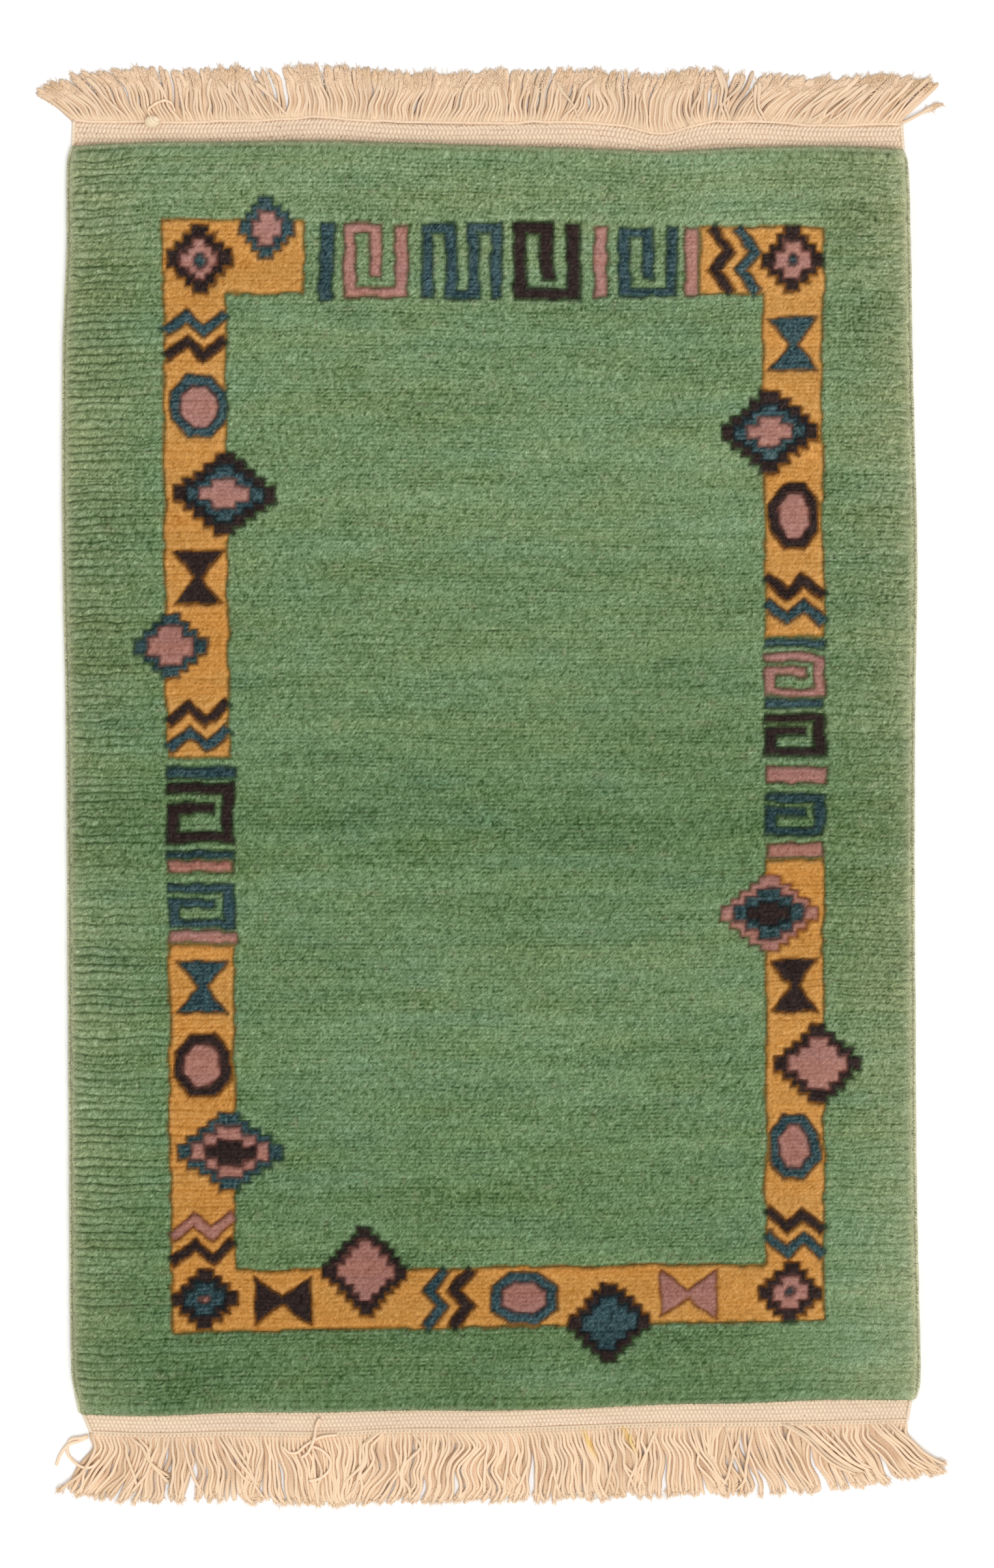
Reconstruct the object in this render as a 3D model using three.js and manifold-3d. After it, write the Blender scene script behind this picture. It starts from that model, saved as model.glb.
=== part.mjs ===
// A small hand-knotted wool rug that lies flat on the floor with its pile up. A carved border band runs round
// the field, overcast cords edge the long sides, and each end has a flat-woven cotton web and a fringe.
// Millimetres. +X is to the right, +Y towards the far fringe, +Z up, and the floor is z = 0.

import * as THREE from 'three';
import { mergeVertices } from 'three/addons/utils/BufferGeometryUtils.js';
import Module from 'manifold-3d';

// Clear space between neighbouring pieces, a little more where a fine edge follows a coarse one
const CLEARANCE = 0.3;
const STRIP_CLEARANCE = 0.45;

// Pile: its heights above the floor, the carved lines and the spacing of the surface points
const PILE_TOP = 13;
const PILE_RIM = [
  { inward: 0, drop: 5.2 },
  { inward: 1.6, drop: 2.2 },
  { inward: 4.5, drop: 0.6 },
  { inward: 9, drop: 0 },
];
const CARVED_DEPTH = 2.6;
const CARVED_HALF_WIDTH = 1.8;
const PILE_CORNER_DROP = 6.2;
const UNEVENNESS = { height: 0.35, waveAcross: 83, waveAlong: 121, startAcross: 0.6, startAlong: 1.1 };
const MARGIN_STEPS = 2;
const FIELD_STEPS_ACROSS = 10;
const FIELD_STEPS_ALONG = 17;
const CROSSING_ROUNDS = 6;

// Side selvedges: overcast cords
const SELVEDGE_WIDTH = 3.6;
const SELVEDGE_HEIGHT = 6;
const SELVEDGE_SIDES = 8;
const SELVEDGE_END_INSET = 0.8;

// End webs: flat weave with ribs along the ends
const WEB_TOP = 2.4;
const WEB_RIB_DEPTH = 0.6;
const WEB_RIBS = 3;

// Fringes: a twined strip and the strands that are fused to it
const STRIP_DEPTH = 2.8;
const STRIP_TOP = 2.6;
const STRANDS = 140;
const STRAND_WIDTH = 2.5;
const STRAND_TIP_SHARE = 0.8;
const STRAND_TOP = 2.2;
const STRAND_TIP_TOP = 1.5;
const STRAND_BEVEL = 0.5;
const STRAND_NARROWEST = 0.55;
const STRAND_BEND = { driftShare: 0.12, reachShare: 0.5 };
const LEAN_JITTER = 0.4;
const REACH_JITTER = 2.2;

// Knot: a cord end tied on the far strip, with its free tail over the strands
const KNOT = { x: -239, y: 464, across: 11, along: 9, height: 6, facetsRound: 12, facetsUp: 8 };
const TAIL_RADIUS = 0.9;
const TAIL_SIDES = 6;
const TAIL_STEPS = 8;
const MERGE_DISTANCE = 1e-4;

// Long sides: X of the cloth's edges at distances y along the rug, near end first
const SIDES = [
  { y: -448, left: -292, right: 299 },
  { y: -436, left: -294.5, right: 304 },
  { y: -424, left: -296.5, right: 305.3 },
  { y: -395, left: -297.5, right: 304.9 },
  { y: -284, left: -298.4, right: 302.6 },
  { y: -146, left: -299.3, right: 301.6 },
  { y: -63, left: -299.8, right: 301.2 },
  { y: 47, left: -300.7, right: 301.6 },
  { y: 158, left: -303, right: 303 },
  { y: 296, left: -303, right: 299.8 },
  { y: 379, left: -300.2, right: 298.4 },
  { y: 434, left: -299.8, right: 296.6 },
  { y: 446, left: -297, right: 293 },
];

// Ends: Y of the pile's edges and of the fringe strips' inner edges at distances x across the rug
const ENDS = [
  { x: -300, stripNear: -463, pileNear: -451.5, pileFar: 446.5, stripFar: 464 },
  { x: -240, stripNear: -465.3, pileNear: -452.9, pileFar: 449.2, stripFar: 462.7 },
  { x: -180, stripNear: -464, pileNear: -450.6, pileFar: 449.7, stripFar: 463.6 },
  { x: -120, stripNear: -464.4, pileNear: -450.4, pileFar: 450.1, stripFar: 466.1 },
  { x: -60, stripNear: -462.1, pileNear: -449, pileFar: 448.8, stripFar: 462.4 },
  { x: 0, stripNear: -461.9, pileNear: -449.2, pileFar: 446.9, stripFar: 462.2 },
  { x: 60, stripNear: -460, pileNear: -447.8, pileFar: 445.5, stripFar: 462.7 },
  { x: 95, stripNear: -458.7, pileNear: -446, pileFar: 443.8, stripFar: 459.9 },
  { x: 122, stripNear: -458, pileNear: -444.8, pileFar: 442.8, stripFar: 454.9 },
  { x: 150, stripNear: -457.7, pileNear: -444.3, pileFar: 444, stripFar: 461.8 },
  { x: 180, stripNear: -457.5, pileNear: -443.9, pileFar: 445.5, stripFar: 462.9 },
  { x: 240, stripNear: -456.6, pileNear: -441.4, pileFar: 446.4, stripFar: 460.6 },
  { x: 300, stripNear: -455.2, pileNear: -441.8, pileFar: 444.1, stripFar: 461.7 },
];

// Border band: X of its side outlines along the rug, and Y of its end outlines across it
const BAND_SIDES = [
  { y: -394, outerLeft: -224.7, innerLeft: -179.1, innerRight: 195.7, outerRight: 236.2 },
  { y: 0, outerLeft: -228.6, innerLeft: -183.7, innerRight: 194.8, outerRight: 235.8 },
  { y: 394, outerLeft: -231.6, innerLeft: -187.9, innerRight: 193.9, outerRight: 235.3 },
];
const BAND_ENDS = [
  { x: -230, outerNear: -393.5, innerNear: -350.2, innerFar: 341.4, outerFar: 394 },
  { x: 236, outerNear: -384.7, innerNear: -344.2, innerFar: 341.4, outerFar: 388.4 },
];

// The two ends. A fringe lies as its table says: its strands drift in X by lean and go out in Y by reach
const FAR_END = {
  direction: 1,
  pileEdge: 'pileFar',
  stripEdge: 'stripFar',
  segments: 2,
  seed: 11,
  lay: [
    { x: -295, lean: -24, reach: 17 },
    { x: -284, lean: -22, reach: 26 },
    { x: -262, lean: -18, reach: 33 },
    { x: -210, lean: -13, reach: 35 },
    { x: -156, lean: -9, reach: 36 },
    { x: -146, lean: -1, reach: 33 },
    { x: -110, lean: 2, reach: 35 },
    { x: -40, lean: 10, reach: 34 },
    { x: 50, lean: 6, reach: 36 },
    { x: 122, lean: 4, reach: 42 },
    { x: 190, lean: 13, reach: 35 },
    { x: 262, lean: 19, reach: 33 },
    { x: 292, lean: 26, reach: 26 },
  ],
};
const NEAR_END = {
  direction: -1,
  pileEdge: 'pileNear',
  stripEdge: 'stripNear',
  segments: 3,
  seed: 29,
  lay: [
    { x: -289, lean: -19, reach: 33 },
    { x: -270, lean: -17, reach: 42 },
    { x: -234, lean: -9, reach: 47 },
    { x: -222, lean: -2, reach: 47 },
    { x: -190, lean: 4, reach: 48 },
    { x: -120, lean: 6, reach: 49 },
    { x: -60, lean: -3, reach: 50 },
    { x: 20, lean: -4, reach: 50 },
    { x: 34, lean: 3, reach: 49 },
    { x: 80, lean: 6, reach: 49 },
    { x: 140, lean: 3, reach: 49 },
    { x: 210, lean: 8, reach: 47 },
    { x: 260, lean: 12, reach: 44 },
    { x: 280, lean: 18, reach: 40 },
    { x: 295, lean: 27, reach: 33 },
  ],
};

// Free tail of the knot, from the knot outwards
const TAIL_POINTS = [
  { x: -241, y: 467, z: 5 },
  { x: -239, y: 472.5, z: 3.8 },
  { x: -231, y: 475, z: 3.5 },
  { x: -219, y: 477, z: 3.5 },
  { x: -208, y: 474, z: 3.5 },
  { x: -203, y: 468.5, z: 3.9 },
];

// Finishes
const PILE_GREEN = new THREE.MeshStandardMaterial({ color: 0x6c835c, roughness: 0.95, metalness: 0 });
const SELVEDGE_OLIVE = new THREE.MeshStandardMaterial({ color: 0x9c9c7c, roughness: 0.95, metalness: 0 });
const COTTON_CREAM = new THREE.MeshStandardMaterial({ color: 0xe5cbad, roughness: 0.9, metalness: 0 });

const wasm = await Module();
wasm.setup();

// Value of one column of a table where another has the value at, on a smooth curve through its rows
function tableValue(table, key, at, column) {
  const last = table.length - 2;
  const found = table.findIndex((row) => row[key] > at) - 1;
  const k = THREE.MathUtils.clamp(found < -1 ? last : found, 0, last);
  const slope = (row) => {
    const before = table[Math.max(row - 1, 0)];
    const after = table[Math.min(row + 1, table.length - 1)];
    return (after[column] - before[column]) / (after[key] - before[key]);
  };
  const span = table[k + 1][key] - table[k][key];
  const t = THREE.MathUtils.clamp((at - table[k][key]) / span, 0, 1);
  const rise = t * t * (3 - 2 * t);
  const value = THREE.MathUtils.lerp(table[k][column], table[k + 1][column], rise);
  return value + span * t * (1 - t) * (slope(k) * (1 - t) - slope(k + 1) * t);
}

// Repeatable random numbers from -1 to 1, each worked out from the last
function randomFrom(seed) {
  const multiplier = 48271;
  const modulus = 2147483647;
  const warmUp = 3;
  let state = seed;
  const next = () => {
    state = (state * multiplier) % modulus;
    return (2 * state) / modulus - 1;
  };
  Array.from({ length: warmUp }, next);
  return next;
}

// Mesh from points and triangles
function solid(points, faces) {
  const geometry = new THREE.BufferGeometry();
  geometry.setAttribute('position', new THREE.Float32BufferAttribute(points.flat(), 3));
  geometry.setIndex(faces.flat());
  geometry.computeVertexNormals();
  return geometry;
}

// Closed plate: every cell is a face above and below, and an edge that only one cell has gets a wall
function plate(points, cells) {
  const count = points.length;
  const faces = [];
  const open = new Map();
  for (const cell of cells) {
    cell.forEach((a, k) => {
      const b = cell[(k + 1) % cell.length];
      if (!open.delete(`${b},${a}`)) open.set(`${a},${b}`, [a, b]);
    });
    for (let k = 1; k + 1 < cell.length; k += 1) {
      faces.push([cell[0], cell[k], cell[k + 1]]);
      faces.push([cell[0] + count, cell[k + 1] + count, cell[k] + count]);
    }
  }
  for (const [a, b] of open.values()) {
    faces.push([a + count, b + count, b], [a + count, b, a]);
  }
  return solid([...points.map((p) => p.upper), ...points.map((p) => p.lower)], faces);
}

// Quads of a grid of points that are stored row after row
function gridCells(rows, columns) {
  const cells = [];
  for (let j = 0; j + 1 < rows; j += 1) {
    for (let i = 0; i + 1 < columns; i += 1) {
      const corner = j * columns + i;
      cells.push([corner, corner + 1, corner + columns + 1, corner + columns]);
    }
  }
  return cells;
}

// One surface line of the pile: where it runs, how far the rim drops there and which carved outline it is
const surfaceLine = (place, drop = 0, outline = null) => ({ place, drop, outline });

// Surface lines from one edge of the pile to the other, through the two outlines on each side
function surfaceLines(edges, outlines, fieldSteps) {
  const [start, end] = edges;
  const lines = PILE_RIM.map((rim) => surfaceLine((at) => start(at) + rim.inward, rim.drop));
  const fill = (from, to, steps) => {
    for (let k = 1; k < steps; k += 1) {
      lines.push(surfaceLine((at) => THREE.MathUtils.lerp(from(at), to(at), k / steps)));
    }
  };
  const carve = ({ name, place }) => {
    lines.push(surfaceLine((at) => place(at) - CARVED_HALF_WIDTH));
    lines.push(surfaceLine(place, 0, name));
    lines.push(surfaceLine((at) => place(at) + CARVED_HALF_WIDTH));
  };
  fill(start, outlines[0].place, MARGIN_STEPS);
  carve(outlines[0]);
  carve(outlines[1]);
  fill(outlines[1].place, outlines[2].place, fieldSteps);
  carve(outlines[2]);
  carve(outlines[3]);
  fill(outlines[3].place, end, MARGIN_STEPS);
  const farRim = PILE_RIM.map((rim) => surfaceLine((at) => end(at) - rim.inward, rim.drop));
  return [...lines, ...farRim.reverse()];
}

// Depth of the carved outline where line i of one set crosses line j of the other
function carvedDrop(lines, i, crossing, j) {
  const { outline } = lines[i];
  if (!outline) return 0;
  const first = crossing.findIndex((line) => line.outline === outline);
  const last = crossing.findLastIndex((line) => line.outline === outline);
  return j >= first && j <= last ? CARVED_DEPTH : 0;
}

// Slow rise and fall of the pile's surface
function unevenness(x, y) {
  const across = Math.sin(x / UNEVENNESS.waveAcross + UNEVENNESS.startAcross);
  const along = Math.sin(y / UNEVENNESS.waveAlong + UNEVENNESS.startAlong);
  return UNEVENNESS.height * across * along;
}

// All surface lines of the pile: columns run along the rug and rows run across it
function pileLines() {
  const side = (column) => (y) => tableValue(BAND_SIDES, 'y', y, column);
  const end = (column) => (x) => tableValue(BAND_ENDS, 'x', x, column);
  const inset = SELVEDGE_WIDTH + CLEARANCE;
  const columns = surfaceLines(
    [(y) => tableValue(SIDES, 'y', y, 'left') + inset, (y) => tableValue(SIDES, 'y', y, 'right') - inset],
    [
      { name: 'outer', place: side('outerLeft') },
      { name: 'inner', place: side('innerLeft') },
      { name: 'inner', place: side('innerRight') },
      { name: 'outer', place: side('outerRight') },
    ],
    FIELD_STEPS_ACROSS,
  );
  const rows = surfaceLines(
    [NEAR_END, FAR_END].map(({ pileEdge }) => (x) => tableValue(ENDS, 'x', x, pileEdge)),
    [
      { name: 'outer', place: end('outerNear') },
      { name: 'inner', place: end('innerNear') },
      { name: 'inner', place: end('innerFar') },
      { name: 'outer', place: end('outerFar') },
    ],
    FIELD_STEPS_ALONG,
  );
  return { columns, rows };
}

// Plan point where a column and a row of the pile cross
function crossingPoint(column, row) {
  let x = 0;
  let y = 0;
  for (let round = 0; round < CROSSING_ROUNDS; round += 1) {
    y = row.place(x);
    x = column.place(y);
  }
  return [x, row.place(x)];
}

// Pile: an uneven rectangle with a rolled rim, the band's outlines carved in and a flat back
function pileGeometry() {
  const { columns, rows } = pileLines();
  const points = [];
  rows.forEach((row, j) => {
    columns.forEach((column, i) => {
      const [x, y] = crossingPoint(column, row);
      const carved = Math.max(carvedDrop(columns, i, rows, j), carvedDrop(rows, j, columns, i));
      const drop = Math.max(carved, Math.hypot(column.drop, row.drop));
      points.push([x, y, PILE_TOP + unevenness(x, y) - Math.min(drop, PILE_CORNER_DROP)]);
    });
  });

  const faces = gridCells(rows.length, columns.length).flatMap(([a, b, c, d]) => [[a, b, c], [a, c, d]]);
  const across = columns.length;
  const along = rows.length;
  const rim = [
    ...columns.map((_, i) => i),
    ...rows.slice(1).map((_, j) => (j + 2) * across - 1),
    ...columns.slice(1).map((_, i) => along * across - 2 - i),
    ...rows.slice(1, -1).map((_, j) => (along - 2 - j) * across),
  ];
  const firstLower = points.length;
  rim.forEach((index) => points.push([points[index][0], points[index][1], 0]));
  const middle = points.push([0, 0, 0]) - 1;
  rim.forEach((index, k) => {
    const next = (k + 1) % rim.length;
    const lower = firstLower + k;
    const nextLower = firstLower + next;
    faces.push([lower, nextLower, rim[next]], [lower, rim[next], index], [middle, nextLower, lower]);
  });
  return solid(points, faces);
}

// Closed tube through rings of points, each ring counter-clockwise when seen from its far side
function tube(rings) {
  const sides = rings[0].length;
  const points = rings.flat();
  const faces = [];
  const lastRing = points.length - sides;
  for (let ring = 0; ring < lastRing; ring += sides) {
    for (let k = 0; k < sides; k += 1) {
      const next = (k + 1) % sides;
      faces.push([ring + k, ring + next, ring + sides + next]);
      faces.push([ring + k, ring + sides + next, ring + sides + k]);
    }
  }
  for (let k = 1; k + 1 < sides; k += 1) {
    faces.push([0, k + 1, k], [lastRing, lastRing + k, lastRing + k + 1]);
  }
  return solid(points, faces);
}

// Selvedge: a cord of flat-sided oval section along one long side, its rings level with the pile's rows
function selvedgeGeometry(column, inward) {
  const { rows } = pileLines();
  const middle = (y) => tableValue(SIDES, 'y', y, column) + inward * SELVEDGE_WIDTH * 0.5;
  const last = rows.length - 1;
  const pileSide = surfaceLine((y) => middle(y) + inward * (SELVEDGE_WIDTH * 0.5 + CLEARANCE));
  const rings = rows.map((row, j) => {
    const shortening = j === 0 ? SELVEDGE_END_INSET : 0;
    const inset = j === last ? -SELVEDGE_END_INSET : shortening;
    const y = crossingPoint(pileSide, row)[1] + inset;
    return Array.from({ length: SELVEDGE_SIDES }, (_, k) => {
      const angle = ((k + 0.5) / SELVEDGE_SIDES) * 2 * Math.PI;
      const reach = 0.5 / Math.cos(Math.PI / SELVEDGE_SIDES);
      const x = middle(y) - Math.sin(angle) * reach * SELVEDGE_WIDTH;
      return [x, y, (0.5 - Math.cos(angle) * reach) * SELVEDGE_HEIGHT];
    });
  });
  return tube(rings);
}

// Stations across one end, level with the pile's columns: the pile's edge and the strip's inner edge there
function endStations(end) {
  const { columns, rows } = pileLines();
  const row = end.direction > 0 ? rows[rows.length - 1] : rows[0];
  return columns.map((column) => {
    const [x, pile] = crossingPoint(column, row);
    return { x, pile, strip: tableValue(ENDS, 'x', x, end.stripEdge) };
  });
}

// Y of the strip's inner edge at x, straight between the stations
function stripLine(stations, x) {
  const found = stations.findIndex((station) => station.x > x);
  const k = THREE.MathUtils.clamp(found < 0 ? stations.length - 1 : found, 1, stations.length - 1);
  const [from, to] = [stations[k - 1], stations[k]];
  return THREE.MathUtils.mapLinear(x, from.x, to.x, from.strip, to.strip);
}

// End web: a ribbed flat weave between the pile and the fringe strip
function webGeometry(end) {
  const lines = WEB_RIBS * 2 + 1;
  const stations = endStations(end);
  const points = [];
  for (let r = 0; r < lines; r += 1) {
    for (const { x, pile, strip } of stations) {
      const pileSide = pile + end.direction * CLEARANCE;
      const stripSide = strip - end.direction * STRIP_CLEARANCE;
      const y = THREE.MathUtils.lerp(pileSide, stripSide, r / (lines - 1));
      const height = r % 2 ? WEB_TOP : WEB_TOP - WEB_RIB_DEPTH;
      points.push({ upper: [x, y, height], lower: [x, y, 0] });
    }
  }
  const cells = gridCells(lines, stations.length);
  return plate(points, end.direction > 0 ? cells : cells.map((cell) => cell.reverse()));
}

// One strand as rows of left and right points, root first, lying level and leaning as its end's table says
function strandRows(end, stations, x, random) {
  const lean = tableValue(end.lay, 'x', x, 'lean') + LEAN_JITTER * random();
  const reach = tableValue(end.lay, 'x', x, 'reach') + REACH_JITTER * random();
  const front = (at) => stripLine(stations, at) + end.direction * STRIP_DEPTH;
  const root = new THREE.Vector2(x, front(x));
  const tip = new THREE.Vector2(x + lean, root.y + end.direction * reach);
  const bend = new THREE.Vector2(
    x + lean * STRAND_BEND.driftShare,
    root.y + end.direction * reach * STRAND_BEND.reachShare,
  );
  const centreLine = new THREE.QuadraticBezierCurve(root, bend, tip);
  const width = STRAND_WIDTH * Math.max(STRAND_NARROWEST, reach / Math.hypot(lean, reach));
  return Array.from({ length: end.segments + 1 }, (_, k) => {
    const t = k / end.segments;
    const centre = centreLine.getPoint(t);
    const onward = k ? centreLine.getTangent(t) : new THREE.Vector2(0, end.direction);
    const half = 0.5 * width * THREE.MathUtils.lerp(1, STRAND_TIP_SHARE, t);
    const back = k === end.segments ? STRAND_BEVEL : 0;
    const side = (sign) => {
      const place = (distance, shift) => [
        centre.x + sign * end.direction * onward.y * distance - onward.x * shift,
        centre.y - sign * end.direction * onward.x * distance - onward.y * shift,
      ];
      const [lowerX, lowerY] = place(half, 0);
      const [upperX, upperY] = place(half - STRAND_BEVEL, back);
      const height = THREE.MathUtils.lerp(STRAND_TOP, STRAND_TIP_TOP, t);
      if (k === 0) {
        return { upper: [upperX, front(upperX), height], lower: [lowerX, front(lowerX), 0] };
      }
      return { upper: [upperX, upperY, height], lower: [lowerX, lowerY, 0] };
    };
    return { left: side(-1), right: side(1) };
  });
}

// Fringe: strands that stand apart and are fused at their roots to a narrow twined strip
function fringeGeometry(end) {
  const points = [];
  const cells = [];
  const random = randomFrom(end.seed);
  const stations = endStations(end);
  const left = stations[0].x;
  const pitch = (stations[stations.length - 1].x - left) / STRANDS;
  const backPoint = (x) => {
    const y = stripLine(stations, x);
    return points.push({ upper: [x, y, STRIP_TOP], lower: [x, y, 0] }) - 1;
  };
  let back = backPoint(left);
  let previousRight = null;
  for (let s = 0; s < STRANDS; s += 1) {
    const rows = strandRows(end, stations, left + (s + 0.5) * pitch, random);
    const [lefts, rights] = ['left', 'right'].map((side) => rows.map((row) => points.push(row[side]) - 1));
    const nextBack = backPoint(left + (s + 1) * pitch);
    if (previousRight !== null) cells.push([back, lefts[0], previousRight]);
    cells.push([back, nextBack, rights[0], lefts[0]]);
    for (let k = 0; k < end.segments; k += 1) {
      cells.push([lefts[k], rights[k], rights[k + 1], lefts[k + 1]]);
    }
    back = nextBack;
    previousRight = rights[0];
  }
  return plate(points, end.direction > 0 ? cells : cells.map((cell) => cell.reverse()));
}

// Solid from a three.js geometry, ready to be joined
function joinable(geometry) {
  const bare = geometry.clone();
  bare.deleteAttribute('normal');
  bare.deleteAttribute('uv');
  const merged = mergeVertices(bare, MERGE_DISTANCE);
  const vertProperties = new Float32Array(merged.attributes.position.array);
  const triVerts = new Uint32Array(merged.index.array);
  return new wasm.Manifold(new wasm.Mesh({ numProp: 3, vertProperties, triVerts }));
}

// Knot: a pressed ball of cord joined to its free tail
function knotGeometry() {
  const floor = STRIP_TOP + CLEARANCE;
  const ball = new THREE.SphereGeometry(0.5, KNOT.facetsRound, KNOT.facetsUp);
  ball.rotateX(Math.PI / 2);
  ball.scale(KNOT.across, KNOT.along, KNOT.height);
  ball.translate(KNOT.x, KNOT.y, floor + KNOT.height / 2);
  const section = new THREE.Shape(
    Array.from({ length: TAIL_SIDES }, (_, k) => {
      const angle = (k / TAIL_SIDES) * 2 * Math.PI;
      return new THREE.Vector2(Math.cos(angle) * TAIL_RADIUS, Math.sin(angle) * TAIL_RADIUS);
    }),
  );
  const route = new THREE.CatmullRomCurve3(TAIL_POINTS.map(({ x, y, z }) => new THREE.Vector3(x, y, z)));
  const tail = new THREE.ExtrudeGeometry(section, { steps: TAIL_STEPS, extrudePath: route });
  const joined = joinable(ball).add(joinable(tail)).getMesh();
  const geometry = new THREE.BufferGeometry();
  geometry.setAttribute('position', new THREE.BufferAttribute(joined.vertProperties, 3));
  geometry.setIndex(new THREE.BufferAttribute(joined.triVerts, 1));
  geometry.computeVertexNormals();
  return geometry;
}

const rug = new THREE.Group();

// Adds one named piece to the rug
function addPiece(name, geometry, material) {
  const mesh = new THREE.Mesh(geometry, material);
  mesh.name = name;
  rug.add(mesh);
}

addPiece('rug_pile', pileGeometry(), PILE_GREEN);
addPiece('selvedge_left', selvedgeGeometry('left', 1), SELVEDGE_OLIVE);
addPiece('selvedge_right', selvedgeGeometry('right', -1), SELVEDGE_OLIVE);
addPiece('end_web_far', webGeometry(FAR_END), COTTON_CREAM);
addPiece('end_web_near', webGeometry(NEAR_END), COTTON_CREAM);
addPiece('fringe_far', fringeGeometry(FAR_END), COTTON_CREAM);
addPiece('fringe_near', fringeGeometry(NEAR_END), COTTON_CREAM);
addPiece('tied_knot', knotGeometry(), COTTON_CREAM);

// The rug's own origin is the middle of the ground that it covers
const covered = new THREE.Box3().setFromObject(rug);
const centre = covered.getCenter(new THREE.Vector3());
rug.position.set(-centre.x, -centre.y, -covered.min.z);

export default rug;
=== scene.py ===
# Looks of a small hand-knotted wool rug that lies flat on the floor: cut and carved pile, overcast sides,
# and a flat-woven cotton web with a fringe at each end. Measures are millimetres in the rug's own frame,
# with its middle near x = 0, y = 0, and place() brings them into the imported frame, in metres.

import math

import bmesh
import bpy
import numpy as np
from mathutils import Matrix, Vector


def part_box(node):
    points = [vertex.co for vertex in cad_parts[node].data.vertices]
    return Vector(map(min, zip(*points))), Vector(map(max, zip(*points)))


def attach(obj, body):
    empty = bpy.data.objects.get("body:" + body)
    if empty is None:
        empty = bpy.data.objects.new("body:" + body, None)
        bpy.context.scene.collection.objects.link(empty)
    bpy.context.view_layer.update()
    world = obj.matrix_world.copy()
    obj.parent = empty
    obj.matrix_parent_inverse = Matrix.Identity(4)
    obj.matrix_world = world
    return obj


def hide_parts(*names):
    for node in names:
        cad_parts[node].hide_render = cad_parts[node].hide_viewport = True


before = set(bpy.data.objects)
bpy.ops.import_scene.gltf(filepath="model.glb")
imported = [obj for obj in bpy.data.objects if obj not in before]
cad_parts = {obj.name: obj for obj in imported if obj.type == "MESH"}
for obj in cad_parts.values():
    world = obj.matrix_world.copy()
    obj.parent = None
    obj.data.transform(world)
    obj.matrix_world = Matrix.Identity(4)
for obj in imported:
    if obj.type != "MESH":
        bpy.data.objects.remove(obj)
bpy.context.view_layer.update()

MM = 0.001
BODY = "root"

# Pile: heights above the floor, the size of one knot and the rolled rim, from its foot inwards
PILE_TOP = 13
KNOT_ACROSS = 2.8
KNOT_ALONG = 2.85
UNEVENNESS = {"height": 0.35, "wave_across": 83, "wave_along": 121, "start_across": 0.6, "start_along": 1.1}
SIDE_RIM = {
    "inward": [-0.6, -1.2, -1.5, -1.1, 0, 1.8, 4, 6.4],
    "drop": [8.6, 7.4, 5.8, 4.1, 2.6, 1.3, 0.6, 0.2],
}
END_RIM = {
    "inward": [0.5, 0.1, 0, 0.3, 1.1, 2.5, 4.4, 6.6],
    "drop": [11.9, 9.4, 6.6, 4.3, 2.6, 1.3, 0.6, 0.2],
}
RIM_LINES = 8
RIM_REACH = 9
PILE_FOOT = 1.1

# Side selvedges and the clear space that the solids keep
SELVEDGE_WIDTH = 3.6
SELVEDGE_HEIGHT = 6
CLEARANCE = 0.3

# Fringe strips, where the strands are rooted
STRIP_DEPTH = 2.8

# Knot tied on the far strip, and its free tail from the knot outwards
KNOT = {"x": -239, "y": 464, "foot": 2.9, "across": 11, "along": 9, "height": 6}
TAIL = {
    "x": [-240, -242, -238, -231, -226, -223],
    "y": [467, 472, 476, 479, 477.5, 471.5],
    "z": [5.6, 4.6, 4.2, 4.2, 4.2, 4.2],
}

# Long sides: X of the cloth's edges at distances y along the rug
SIDES = {
    "y": [-448, -436, -424, -395, -284, -146, -63, 47, 158, 296, 379, 434, 446],
    "left": [-292, -294.5, -296.5, -297.5, -298.4, -299.3, -299.8, -300.7, -303, -303, -300.2, -299.8, -297],
    "right": [299, 304, 305.3, 304.9, 302.6, 301.6, 301.2, 301.6, 303, 299.8, 298.4, 296.6, 293],
}

# Ends: Y of the pile's edges and of the fringe strips' inner edges at distances x across the rug
ENDS = {
    "x": [-300, -240, -180, -120, -60, 0, 60, 95, 122, 150, 180, 240, 300],
    "strip_near": [
        -463, -465.3, -464, -464.4, -462.1, -461.9, -460, -458.7, -458, -457.7, -457.5, -456.6, -455.2,
    ],
    "pile_near": [
        -451.5, -452.9, -450.6, -450.4, -449, -449.2, -447.8, -446, -444.8, -444.3, -443.9, -441.4, -441.8,
    ],
    "pile_far": [446.5, 449.2, 449.7, 450.1, 448.8, 446.9, 445.5, 443.8, 442.8, 444, 445.5, 446.4, 444.1],
    "strip_far": [464, 462.7, 463.6, 466.1, 462.4, 462.2, 462.7, 459.9, 454.9, 461.8, 462.9, 460.6, 461.7],
}

# Lightness and red of the green ground along the rug, and what is added to them near its sides
GROUND_TONE = {
    "y": [-440, -400, -330, -220, -130, -40, 60, 220, 330, 400, 440],
    "tone": [0.82, 0.835, 0.925, 0.985, 0.985, 0.94, 0.985, 1.09, 1.105, 1.18, 1.2],
    "red": [1.0, 0.99, 0.98, 0.99, 1.02, 0.97, 1.02, 1.03, 1.04, 1.07, 1.07],
}
SIDE_TONE = {
    "x": [-300, -262, -230, 205, 250, 300],
    "tone": [0.08, 0.035, 0, 0, 0.045, 0.18],
    "red": [1.14, 1.07, 1, 1, 1.05, 1.18],
}

# Power that turns a linear colour into steps as the eye sees them, and the least light that it then keeps
SEEN_POWER = 2.2
SEEN_LEAST = 0.02

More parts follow.
